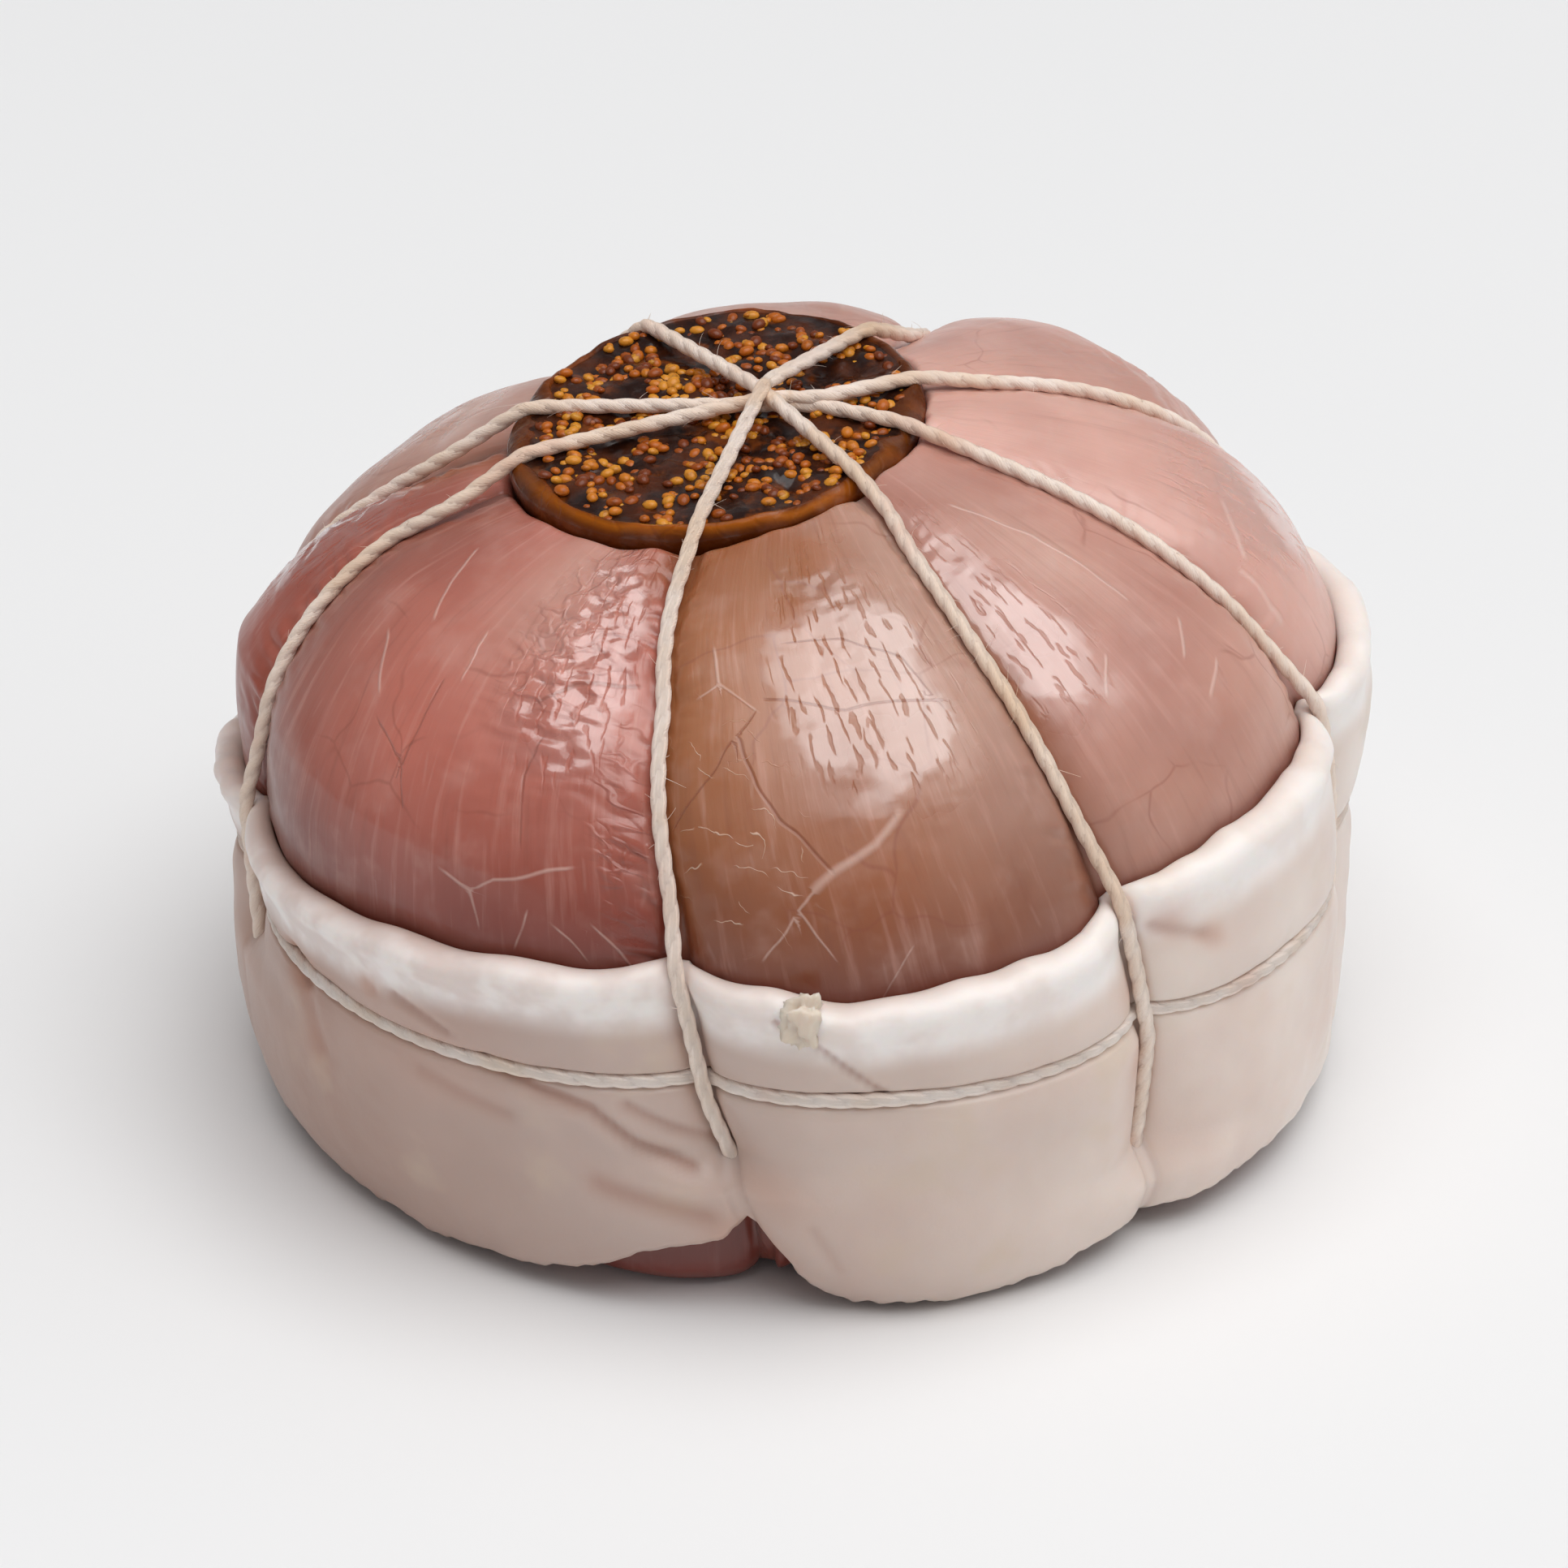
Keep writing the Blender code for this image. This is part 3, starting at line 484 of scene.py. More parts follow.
def add_piece(name, shape, points, material, nodes=(), colours=None, vectors=None):
    """A named piece from a bmesh whose corners go to the points, which stands for its solids."""
    for vertex, point in zip(shape.verts, points):
        vertex.co = (point[0] + AXIS[0], point[1] + AXIS[1], point[2])
    bmesh.ops.recalc_face_normals(shape, faces=shape.faces)
    if shape.calc_volume(signed=True) < 0:
        bmesh.ops.reverse_faces(shape, faces=shape.faces)
    mesh = as_mesh(name, shape)
    mesh.shade_smooth()
    for label, values in (colours or {}).items():
        layer = mesh.attributes.new(label, "FLOAT_COLOR", "POINT")
        filled = np.concatenate([values, np.ones((len(values), 1))], axis=1)
        layer.data.foreach_set("color", filled.astype(np.float32).ravel())
    for label, values in (vectors or {}).items():
        layer = mesh.attributes.new(label, "FLOAT_VECTOR", "POINT")
        layer.data.foreach_set("vector", np.asarray(values, np.float32).ravel())
    mesh.materials.append(material)
    thing = placed(name, mesh)
    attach(thing, "root")
    if nodes:
        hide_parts(*nodes)


def shade(red, green, blue):
    """A colour as seen on a screen, from 0 to 255, as the light that a surface gives back."""
    seen = np.array([red, green, blue]) / 255
    return tuple(np.where(seen < 0.04045, seen / 12.92, ((seen + 0.055) / 1.055) ** 2.4))


def add_finish(name, **settings):
    """A material whose shader has the given plain values, with its tree and its shader."""
    material = bpy.data.materials.new(name)
    material.use_nodes = True
    shader = material.node_tree.nodes["Principled BSDF"]
    for label, value in settings.items():
        shader.inputs[label.replace("_", " ")].default_value = value
    return material, material.node_tree, shader


def add_node(tree, kind, inputs=None, **settings):
    """A shader node; each of its inputs is a value or the socket that feeds it."""
    made = tree.nodes.new("ShaderNode" + kind)
    for label, value in settings.items():
        setattr(made, label, value)
    for label, value in (inputs or {}).items():
        if isinstance(value, bpy.types.NodeSocket):
            tree.links.new(value, made.inputs[label])
        else:
            made.inputs[label].default_value = value
    return made


MIX_FACTOR, MIX_FIRST, MIX_SECOND, MIX_RESULT = 0, 6, 7, 2  # a colour Mix node's sockets


def blend(tree, share, first, second, kind="MIX"):
    """The first colour gone over to the second by a share."""
    made = add_node(tree, "Mix", data_type="RGBA", blend_type=kind)
    for socket, value in ((MIX_FACTOR, share), (MIX_FIRST, first), (MIX_SECOND, second)):
        if isinstance(value, bpy.types.NodeSocket):
            tree.links.new(value, made.inputs[socket])
        elif socket == MIX_FACTOR:
            made.inputs[socket].default_value = value
        else:
            made.inputs[socket].default_value = (*value, 1.0)
    return made.outputs[MIX_RESULT]


def reckon(tree, operation, first, second=0.0):
    """The result of a sum on one or two values."""
    return add_node(tree, "Math", {0: first, 1: second}, operation=operation).outputs[0]


def spread(tree, value, low, high, start=0.0, end=1.0):
    """A value's way from low to high as a soft change from start to end."""
    made = add_node(tree, "MapRange", {"Value": value, "From Min": low, "From Max": high,
                                       "To Min": start, "To Max": end},
                    interpolation_type="SMOOTHSTEP")
    return made.outputs["Result"]


def add_group(name, inputs, outputs):
    """A node group with named sockets; inputs give their kind and what they hold unlinked."""
    group = bpy.data.node_groups.new(name, "ShaderNodeTree")
    for label, (kind, value) in inputs.items():
        socket = group.interface.new_socket(label, in_out="INPUT", socket_type="NodeSocket" + kind)
        socket.default_value = value
    for label, kind in outputs.items():
        group.interface.new_socket(label, in_out="OUTPUT", socket_type="NodeSocket" + kind)
    given = group.nodes.new("NodeGroupInput").outputs
    result = group.nodes.new("NodeGroupOutput").inputs
    return group, given, result


def use_group(tree, group, **inputs):
    """A node group placed in a material with its own values."""
    made = tree.nodes.new("ShaderNodeGroup")
    made.node_tree = group
    for label, value in inputs.items():
        if isinstance(value, bpy.types.NodeSocket):
            tree.links.new(value, made.inputs[label])
        else:
            made.inputs[label].default_value = value
    return made.outputs[0]


def object_place(tree):
    """The place on the piece itself, in metres."""
    return add_node(tree, "TexCoord").outputs["Object"]


def carried(tree, name, socket="Color"):
    """What the corners of a piece carry under a name."""
    return add_node(tree, "Attribute", attribute_name=name).outputs[socket]


def channels(tree, name):
    """The three shares that the corners of a piece carry under a name."""
    return add_node(tree, "SeparateColor", {"Color": carried(tree, name)}).outputs


def stretched(tree, vector, scale, turn=0.0):
    """A vector scaled and turned."""
    made = add_node(tree, "Mapping", {"Vector": vector, "Scale": scale, "Rotation": (0, 0, turn)})
    return made.outputs[0]


def weave(tree, vector, scale, detail):
    """Fine noise from 0 to 1."""
    made = add_node(tree, "TexNoise", {"Vector": vector, "Scale": scale, "Detail": detail})
    return made.outputs["Fac"]


def tinted(tree, colour, mask, share, red, green, blue):
    """A colour gone over to another by a share of a mask."""
    return blend(tree, reckon(tree, "MULTIPLY", mask, share), colour, shade(red, green, blue))


def mottled(tree, tone, mask, dark, light):
    """A tone multiplied by one colour outside a mask and by another in it."""
    return blend(tree, mask, blend(tree, 1.0, tone, dark, "MULTIPLY"),
                 blend(tree, 1.0, tone, light, "MULTIPLY"))


def set_relief(tree, shader, height, strength, distance):
    """The fine relief of a finish."""
    bump = add_node(tree, "Bump", {"Height": height, "Strength": strength, "Distance": distance})
    tree.links.new(bump.outputs["Normal"], shader.inputs["Normal"])


def make_blotches():
    """Soft uneven patches: 0 to 1 where noise passes from Low to High."""
    group, given, result = add_group(
        "blotches", {"Vector": ("Vector", (0, 0, 0)), "Scale": ("Float", 100.0),
                     "Low": ("Float", 0.35), "High": ("Float", 0.65)}, {"Mask": "Float"})
    cloud = add_node(group, "TexNoise", {"Vector": given["Vector"], "Scale": given["Scale"],
                                         "Detail": 3.0})
    mask = spread(group, cloud.outputs["Fac"], given["Low"], given["High"])
    group.links.new(mask, result["Mask"])
    return group


def strayed(tree, vector, scale, amount):
    """A vector that wanders by up to half an amount, in lumps of a scale."""
    cloud = add_node(tree, "TexNoise", {"Vector": vector, "Scale": scale, "Detail": 2.0})
    stray = add_node(tree, "VectorMath", {0: cloud.outputs["Color"], 1: (0.5, 0.5, 0.5)},
                     operation="SUBTRACT")
    stray = add_node(tree, "VectorMath", {0: stray.outputs[0], "Scale": amount}, operation="SCALE")
    return add_node(tree, "VectorMath", {0: vector, 1: stray.outputs[0]},
                    operation="ADD").outputs[0]


def make_creases():
    """Thin wandering lines between cells of a size: 1 on a line and 0 beside it."""
    group, given, result = add_group(
        "creases", {"Vector": ("Vector", (0, 0, 0)), "Scale": ("Float", 100.0),
                    "Width": ("Float", 0.05), "Wander": ("Float", 0.004)}, {"Line": "Float"})
    moved = strayed(group, given["Vector"], given["Scale"], given["Wander"])
    cells = add_node(group, "TexVoronoi", {"Vector": moved, "Scale": given["Scale"]},
                     feature="DISTANCE_TO_EDGE")
    line = spread(group, cells.outputs["Distance"], 0.0, given["Width"], 1.0, 0.0)
    group.links.new(line, result["Line"])
    return group


def make_dashes():
    """Scattered short bent dashes, one or none in each cell: 1 on a dash and 0 beside it. With
    no Slant they lie along Y."""
    group, given, result = add_group(
        "dashes", {"Vector": ("Vector", (0, 0, 0)), "Scale": ("Float", 1.0),
                   "Slant": ("Float", 0.0), "Spread": ("Float", 0.3), "Long": ("Float", 0.4),
                   "Wide": ("Float", 0.05), "Bend": ("Float", 0.8), "Share": ("Float", 0.5)},
        {"Mask": "Float"})
    cells = add_node(group, "TexVoronoi", {"Vector": given["Vector"], "Scale": given["Scale"]},
                     voronoi_dimensions="2D")
    offset = add_node(group, "VectorMath", {0: given["Vector"], 1: cells.outputs["Position"]},
                      operation="SUBTRACT")
    draw = add_node(group, "SeparateColor", {"Color": cells.outputs["Color"]}).outputs
    stray = reckon(group, "MULTIPLY", reckon(group, "SUBTRACT", draw["Red"], 0.5), given["Spread"])
    turned = add_node(group, "VectorRotate", {
        "Vector": offset.outputs[0], "Angle": reckon(group, "ADD", given["Slant"], stray)},
        rotation_type="Z_AXIS")
    parts = add_node(group, "SeparateXYZ", {"Vector": turned.outputs[0]}).outputs
    bend = reckon(group, "MULTIPLY", reckon(group, "SUBTRACT", draw["Blue"], 0.5), given["Bend"])
    bend = reckon(group, "MULTIPLY", bend, reckon(group, "MULTIPLY", parts["Y"], parts["Y"]))
    gap = reckon(group, "ABSOLUTE", reckon(group, "ADD", parts["X"], bend))
    side = add_node(group, "MapRange", {"Value": gap, "From Min": given["Wide"], "From Max": 0.0},
                    interpolation_type="SMOOTHSTEP").outputs["Result"]
    reach = reckon(group, "MULTIPLY", given["Long"],
                   reckon(group, "ADD", reckon(group, "MULTIPLY", draw["Blue"], 0.6), 0.4))
    end = add_node(group, "MapRange", {"Value": reckon(group, "ABSOLUTE", parts["Y"]),
                                       "From Min": reach,
                                       "From Max": reckon(group, "MULTIPLY", reach, 0.4)},
                   interpolation_type="SMOOTHSTEP").outputs["Result"]
    there = reckon(group, "LESS_THAN", draw["Green"], given["Share"])
    mask = reckon(group, "MULTIPLY", reckon(group, "MULTIPLY", side, end), there)
    group.links.new(mask, result["Mask"])
    return group


BLOTCHES, CREASES, DASHES = make_blotches(), make_creases(), make_dashes()


def blotches(tree, place, scale, low, high):
    """Soft uneven patches: 0 to 1 where noise of a scale passes from low to high."""
    return use_group(tree, BLOTCHES, Vector=place, Scale=scale, Low=low, High=high)


# Each lobe's colour beside its first string, on its crest and beside its second
LOBE_TONES = (
    ((166, 106, 68), (170, 111, 81), (188, 152, 137)),
    ((181, 129, 114), (187, 133, 119), (195, 144, 130)),
    ((218, 171, 159), (222, 175, 162), (214, 166, 152)),
    ((208, 162, 148), (206, 160, 148), (204, 158, 146)),
    ((196, 148, 134), (190, 142, 126), (184, 136, 120)),
    ((176, 128, 112), (172, 122, 106), (168, 118, 102)),
    ((163, 92, 76), (167, 90, 74), (170, 90, 73)),
    ((152, 92, 77), (198, 117, 101), (183, 110, 95)),
)
TONES_SEEN = [np.array([shade(*tone) for tone in tones]) for tones in LOBE_TONES]
# The share of its light that each lobe gives just above the fat: partly its own deeper tone there
# and partly painted shade near the fat
LOW_TONE_AND_SHADE = ((0.62, 0.45, 0.36), (1.08, 1.22, 1.2), (0.92, 0.9, 0.88), (0.8, 0.72, 0.68),
             (0.72, 0.62, 0.56), (0.66, 0.54, 0.48), (0.62, 0.46, 0.4), (0.46, 0.26, 0.21))
LOW_REACH = 14 * MM
FOOT_TONE = shade(150, 66, 60)
# A paler tone where the membrane lies as a film: partly its own colour and partly painted sheen
PALE_AND_SHEEN_TONE, PALE_SHARE = shade(218, 182, 168), 0.55

# Soft round zones of the membrane: place round the roll, height, and reach round and up in
# millimetres. It carries hairs with painted glints in some, lies smooth and wet in others, is paler
# in others, partly as its own pale film and partly as painted sheen, is slack in others or is
# stained by the fig.
HAIR_GLINT_ZONES = ((0.17, 36.5, 5.5, 6.0), (3.4, 38.0, 8.0, 6.0), (5.3, 36.0, 9.0, 6.0))
WET_ZONES = ((0.60, 44.2, 8.0, 5.0), (1.14, 45.8, 6.0, 4.4), (7.80, 44.0, 6.0, 5.0),
             (2.5, 44.0, 7.0, 4.0), (4.4, 42.0, 8.0, 4.0), (6.3, 42.0, 7.0, 4.0))
PALE_AND_SHEEN_ZONES = ((7.62, 47.5, 9.0, 4.5), (1.5, 48.0, 6.0, 3.0), (5.6, 46.0, 9.0, 4.0))
SLACK_ZONES = ((7.77, 45.4, 7.0, 4.0), (7.93, 36.0, 2.2, 5.5), (3.7, 43.0, 6.0, 5.0),
               (5.5, 41.0, 7.0, 5.0))
STAIN_ZONES = ((1.02, 43.0, 1.5, 7.0), (7.95, 48.4, 4.5, 1.6), (0.03, 41.0, 1.4, 9.0),
               (0.4, 48.6, 6.0, 1.2), (6.1, 47.0, 5.0, 2.0))

# Threads and streaks in the membrane, and veins and cracks: the way that each takes as places
# round the roll and heights in millimetres, and half its width in millimetres
THREADS = (
    (((0.57, 38.1), (0.50, 36.4), (0.40, 35.1), (0.33, 33.8)), 0.5),
    (((0.33, 33.8), (0.28, 32.2), (0.20, 29.3)), 0.16), (((0.29, 32.6), (0.34, 29.6)), 0.14),
    (((7.62, 31.8), (7.67, 31.0), (7.71, 32.2), (7.84, 33.8)), 0.2),
    (((7.67, 31.0), (7.68, 28.8)), 0.16), (((7.28, 46.7), (7.33, 45.5), (7.38, 44.1)), 0.2),
    (((7.30, 42.3), (7.37, 40.0)), 0.2), (((7.53, 44.3), (7.55, 42.4)), 0.16),
    (((0.17, 45.4), (0.17, 44.1), (0.26, 43.3)), 0.18), (((0.17, 44.1), (0.12, 43.4)), 0.14),
    (((1.42, 50.0), (1.57, 48.6), (1.60, 45.5)), 0.18), (((1.69, 43.4), (1.60, 42.1)), 0.24),
    (((1.68, 40.8), (1.59, 39.6)), 0.26), (((1.35, 43.4), (1.28, 41.9)), 0.2),
    (((2.37, 45.9), (2.19, 43.6)), 0.4), (((2.12, 42.7), (2.10, 39.2)), 0.4),
)
VEINS = (
    (((0.22, 42.0), (0.26, 39.8), (0.30, 37.9), (0.38, 35.4)), 0.2),
    (((0.26, 43.0), (0.17, 40.7), (0.04, 36.6)), 0.13),
    (((0.41, 46.1), (0.58, 46.2), (0.74, 45.2), (0.79, 43.1)), 0.12),
    (((0.32, 43.8), (0.52, 43.4), (0.79, 43.3)), 0.15),
    (((7.51, 41.6), (7.50, 37.0), (7.52, 35.0)), 0.16), (((7.50, 37.0), (7.41, 38.6)), 0.14),
    (((7.77, 40.4), (7.75, 38.6), (7.76, 34.9)), 0.16),
    (((7.74, 42.3), (7.80, 43.3), (7.93, 43.3)), 0.24),
)
REPEAT = LEGS // 2          # the unseen side has like ones this many lobes on
SWAY, SWAY_SIZE = 0.3 * MM, 2.4 * MM
LINE_FADE = 0.6 * MM


def zone_share(zones, place, heights, wide):
    """How far heights down a column lie inside soft round zones, from 0 to 1."""
    share = np.zeros(len(heights))
    for centre, level, reach_round, reach_up in zones:
        gap = ((place - centre) * wide / MM / reach_round) ** 2
        gap = gap + ((heights / MM - level) / reach_up) ** 2
        share = np.maximum(share, np.exp(-gap))
    return share


def meat_tone(place, heights):
    """The meat's colour at a place round the roll and at heights, with painted sheen and shade in
    it.
    """
    tones = TONES_SEEN[math.floor(place) % LEGS]
    share = place - math.floor(place)
    tone = np.array([np.interp(share, (0.0, 0.5, 1.0), tones[:, channel]) for channel in range(3)])
    # Paler where the membrane lies as a film: partly its own colour, partly painted sheen
    pale = zone_share(PALE_AND_SHEEN_ZONES, place, heights, GIRTH * lobe_width(place)) * PALE_SHARE
    tone = tone + (np.array(PALE_AND_SHEEN_TONE) - tone) * pale[:, None]
    low = np.array(LOW_TONE_AND_SHADE[math.floor(place) % LEGS])
    # Darker towards the fat's rim: partly each lobe's own deeper tone, partly painted shade
    high = ease((heights - fat_rim(place)) / LOW_REACH)[:, None]
    under = ease((fat_hem(place) + MM - heights) / MM)[:, None]
    return (tone * (low + (1 - low) * high)) * (1 - under) + np.array(FOOT_TONE) * under


def drawn_runs(lines):
    """The straight runs of drawn lines: start, way, direction to the side, and half width."""
    runs = []
    for way, half in lines:
        for (place, height), (next_place, next_height) in zip(way, way[1:]):
            for onward in (0, REPEAT):
                first_place, last_place = (place + onward) % LEGS, (next_place + onward) % LEGS
                first = roll_points(first_place, rise_at(first_place, height * MM))
                last = roll_points(last_place, rise_at(last_place, next_height * MM))
                above = roll_points(first_place, rise_at(first_place, height * MM), MM)
                side = np.cross(last - first, above - first)
                runs.append((first, last - first, side / np.linalg.norm(side), half * MM))
    return runs


def line_field(runs, points, sway):
    """For points, how far to the side of the nearest drawn line they lie, in half widths, and
    how strong the line is there."""
    nearest = np.full(len(points), 1.0)
    field = np.zeros((len(points), 3))
    for first, way, side, half in runs:
        offset = points - first
        gap = offset @ side + sway
        length = np.linalg.norm(way)
        done = offset @ way / length
        over = np.maximum(np.maximum(-done, done - length), 0.0)
        near = np.hypot(gap, over)
        closer = near < nearest
        strength = (1 - ease((np.abs(gap) - half) / LINE_FADE)) * (1 - ease(over / LINE_FADE))
        field[closer, 0] = gap[closer] / half
        field[closer, 1] = strength[closer]
        nearest[closer] = near[closer]
    return field


def drawn_line(tree, name):
    """The lines of a piece's line field: 1 on a line and 0 beside it."""
    field = add_node(tree, "Attribute", attribute_name=name).outputs["Vector"]
    parts = add_node(tree, "SeparateXYZ", {"Vector": field}).outputs
    line = spread(tree, reckon(tree, "ABSOLUTE", parts["X"]), 0.0, 1.0, 1.0, 0.0)
    return reckon(tree, "MULTIPLY", line, parts["Y"])


def make_meat_finish():
    """Raw veal: softly mottled muscle under a thin wet membrane with threads, folds and hairs."""
    material, tree, shader = add_finish(
        "meat", Subsurface_Weight=0.4, Subsurface_Radius=(1.0, 0.32, 0.2),
        Subsurface_Scale=0.0024, Specular_IOR_Level=0.5, Coat_Roughness=0.1, Coat_IOR=1.9)
    place, tone = object_place(tree), carried(tree, "tone")
    edges, zones = channels(tree, "edge"), channels(tree, "zone")

    # The grain's own coordinates run round and down the lobes in millimetres
    grain = carried(tree, "grain", "Vector")
    drawn = stretched(tree, grain, (0.9, 0.08, 1.0))
    fibre = add_node(tree, "TexNoise", {"Vector": drawn, "Scale": 1.0, "Detail": 4.0,
                                        "Roughness": 0.55}).outputs["Fac"]
    hair_way = strayed(tree, stretched(tree, grain, (0.36, 0.44, 1.0)), 1.3, 0.7)
    hair = use_group(tree, DASHES, Vector=hair_way, Slant=0.8, Spread=1.2, Long=0.6, Wide=0.022,
                     Bend=1.2, Share=0.9)
    hair = reckon(tree, "MULTIPLY", hair, spread(tree, zones["Red"], 0.15, 0.5))
    streak = use_group(tree, DASHES, Vector=stretched(tree, grain, (0.36, 0.2, 1.0)), Slant=0.0,
                       Spread=0.9, Long=0.36, Wide=0.08, Share=0.18)
    mark_way = strayed(tree, stretched(tree, grain, (0.75, 0.3, 1.0)), 1.2, 1.3)
    mark = use_group(tree, DASHES, Vector=mark_way, Slant=0.3, Spread=0.6, Long=0.6, Wide=0.2,
                     Share=0.95)
    mark = reckon(tree, "MULTIPLY", mark, spread(tree, zones["Green"], 0.12, 0.4))
    slack_way = strayed(tree, stretched(tree, grain, (0.21, 0.46, 1.0), 0.3), 0.7, 1.4)
    wrinkle = use_group(tree, CREASES, Vector=slack_way, Scale=1.0, Width=0.15, Wander=1.1)
    wrinkle = reckon(tree, "MULTIPLY", wrinkle, spread(tree, zones["Blue"], 0.1, 0.6))
    thread, vein = drawn_line(tree, "threads"), drawn_line(tree, "veins")
    web = use_group(tree, CREASES, Vector=place, Scale=120.0, Width=0.022, Wander=0.006)
    somewhere = blotches(tree, place, 90.0, 0.5, 0.62)
    web = reckon(tree, "MULTIPLY", web, somewhere)

    mottle = blotches(tree, place, 95.0, 0.3, 0.7)
    colour = mottled(tree, tone, mottle, (0.88, 0.82, 0.80), (1.06, 1.06, 1.05))
    cloud = blotches(tree, place, 260.0, 0.5, 0.75)
    colour = tinted(tree, colour, cloud, 0.14, 226, 190, 178)
    colour = tinted(tree, colour, spread(tree, fibre, 0.52, 0.75), 0.22, 226, 178, 164)
    colour = tinted(tree, colour, spread(tree, fibre, 0.46, 0.25), 0.2, 126, 70, 54)
    colour = tinted(tree, colour, edges["Blue"], 0.6, 146, 86, 42)
    # Faint pale streaks: painted glints of short glossy streaks
    colour = tinted(tree, colour, streak, 0.08, 232, 200, 188)
    # The hairs' pale colour is a painted glint along their ridges, which also stand up in the
    # relief
    colour = tinted(tree, colour, hair, 0.6, 236, 206, 182)
    colour = tinted(tree, colour, web, 0.35, 140, 74, 58)
    colour = tinted(tree, colour, thread, 0.42, 232, 202, 190)
    colour = tinted(tree, colour, vein, 0.5, 132, 66, 44)
    # Painted shade: a dark line along the fat's rim and darker valleys beside the strings
    colour = tinted(tree, colour, edges["Red"], 0.75, 112, 50, 36)
    colour = tinted(tree, colour, edges["Green"], 0.35, 128, 66, 46)
    tree.links.new(colour, shader.inputs["Base Color"])

    wet = blotches(tree, place, 240.0, 0.35, 0.65)
    soaked = reckon(tree, "ADD", zones["Green"], reckon(tree, "MULTIPLY", wet, 0.35))
    film = reckon(tree, "MAXIMUM", reckon(tree, "MULTIPLY", wet, 0.2),
                  spread(tree, soaked, 0.42, 0.72))
    film = reckon(tree, "MULTIPLY", film, spread(tree, mark, 0.1, 0.5, 1.0, 0.0))
    film = reckon(tree, "ADD", reckon(tree, "MULTIPLY", film, 0.85), 0.05)
    tree.links.new(film, shader.inputs["Coat Weight"])
    gloss = reckon(tree, "MAXIMUM", zones["Green"], zones["Blue"])
    rough = reckon(tree, "SUBTRACT", spread(tree, wet, 0.0, 1.0, 0.3, 0.44),
                   reckon(tree, "MULTIPLY", gloss, 0.16))
    tree.links.new(rough, shader.inputs["Roughness"])

    height = reckon(tree, "MULTIPLY", fibre, 0.5)
    for part, share in ((wrinkle, 1.35), (thread, 0.5), (hair, 0.7), (vein, -0.8), (mark, -0.5),
                        (weave(tree, place, 900.0, 3.0), 0.1)):
        height = reckon(tree, "ADD", height, reckon(tree, "MULTIPLY", part, share))
    set_relief(tree, shader, height, 0.5, 0.0002)
    return material


def make_meat():
    """The meat, with the lumps, ripples and gathered folds of its surface."""
    threads, veins = drawn_runs(THREADS), drawn_runs(VEINS)
    table, tones, grains, edges, zones, pale, dark = [], [], [], [], [], [], []
    for column in range(LEGS * SIDES):
        place = column_place(column)
        points, outward, fade = meat_column(place)
        run = np.concatenate([[0.0], np.cumsum(np.linalg.norm(np.diff(points, axis=0), axis=1))])
        wide = GIRTH * lobe_width(place)
        shift = np.zeros(len(points))
        for index in np.flatnonzero(fade):
            point = points[index]
            lump = waves_at(point, LUMPS) + gathered(place, run[index], point[2], wide)
            folds = pucker(place, run[index], wide)
            shift[index] = lump * fade[index] + folds * min(fade[index] * 2, 1)
        table.append(points + outward * shift[:, None])
        heights = points[:, 2]
        over = heights - fat_rim(place)
        tones.append(meat_tone(place, heights))
        grains.append(np.stack([np.full(len(run), place * wide), run, run * 0], axis=1) / MM)
        # The edge colour: painted shade as a dark line above the fat's rim and as dark valleys
        # beside the strings, and the fig's stain
        line = np.exp(-np.maximum(over, 0.0) / EDGE_SHADE)
        gully = np.full(len(run), math.exp(-abs(place - round(place)) * wide / GULLY_SHADE))
        edges.append(np.stack([line, gully, zone_share(STAIN_ZONES, place, heights, wide)], axis=1))
        zones.append(np.stack([zone_share(kind, place, heights, wide)
                               for kind in (HAIR_GLINT_ZONES, WET_ZONES, SLACK_ZONES)], axis=1))
        sway = np.array([SWAY * signed_noise(point, SWAY_SIZE, 4.4) for point in points])
        pale.append(line_field(threads, points, sway))
        dark.append(line_field(veins, points, sway))
    ball, ring, column = add_ball(LEGS * SIDES, len(table[0]) - 1)
    pick = lambda rows: np.array(rows)[column, ring]
    add_piece("meat", ball, pick(table), make_meat_finish(), ("veal",),
              {"tone": pick(tones), "edge": pick(edges), "zone": pick(zones)},
              {"grain": pick(grains), "threads": pick(pale), "veins": pick(dark)})


make_meat()

# The barding fat is a strip cut from a slab of pork back fat, wound round the meat as a belt and
# held by the strings, which press into it. Its cut edges are soft and round.
FAT = 2.6 * MM
FAT_PRESSED = 0.6           # share of the thickness that is left under a string leg
FAT_TOUCH = 0.05 * MM       # what is left between the meat and the fat
FAT_CLEAR = 0.35 * MM       # height of the hem's lowest edge over what the roll stands on
# Under these heights, in millimetres, the fat closes over each leg of string. It fills this share
# of the valley there, at most by this share of its own thickness.
CLOSED = (13.5, 9.0, 7.0, 7.0, 8.0, 7.0, 8.0, 15.0)
CLOSED_FILL, CLOSED_MOST, CLOSED_REACH = 0.8, 0.75, 3.0 * MM
RIM_ROUND, HEM_ROUND = 1.7 * MM, 0.8 * MM
RIM_INNER = 0.5 * MM        # how deep the cleft between the rim and the meat is
RIM_TOP = 0.38              # how far out the top of the rim lies, as a share of the thickness
FAT_SIDES = 90              # columns in each lobe
RIM_POINTS, HEM_POINTS, BELT_POINTS, BACK_POINTS = 15, 7, 25, 8
UPPER_POINTS, LOWER_POINTS = 26, 44
BELT_ZONE = 1.7 * MM        # half height of the finely divided strip at the belt
BELT_DRAW, BELT_DRAW_REACH = 0.5 * MM, 1.5 * MM  # the shallow waist that the belt draws in
GROOVE, GROOVE_HALF = 0.55 * MM, 0.62 * MM       # and the narrow groove that it lies in
GROOVE_OPEN, GROOVE_WALL = 1.35, 0.8  # its half width at the face and that of its walls
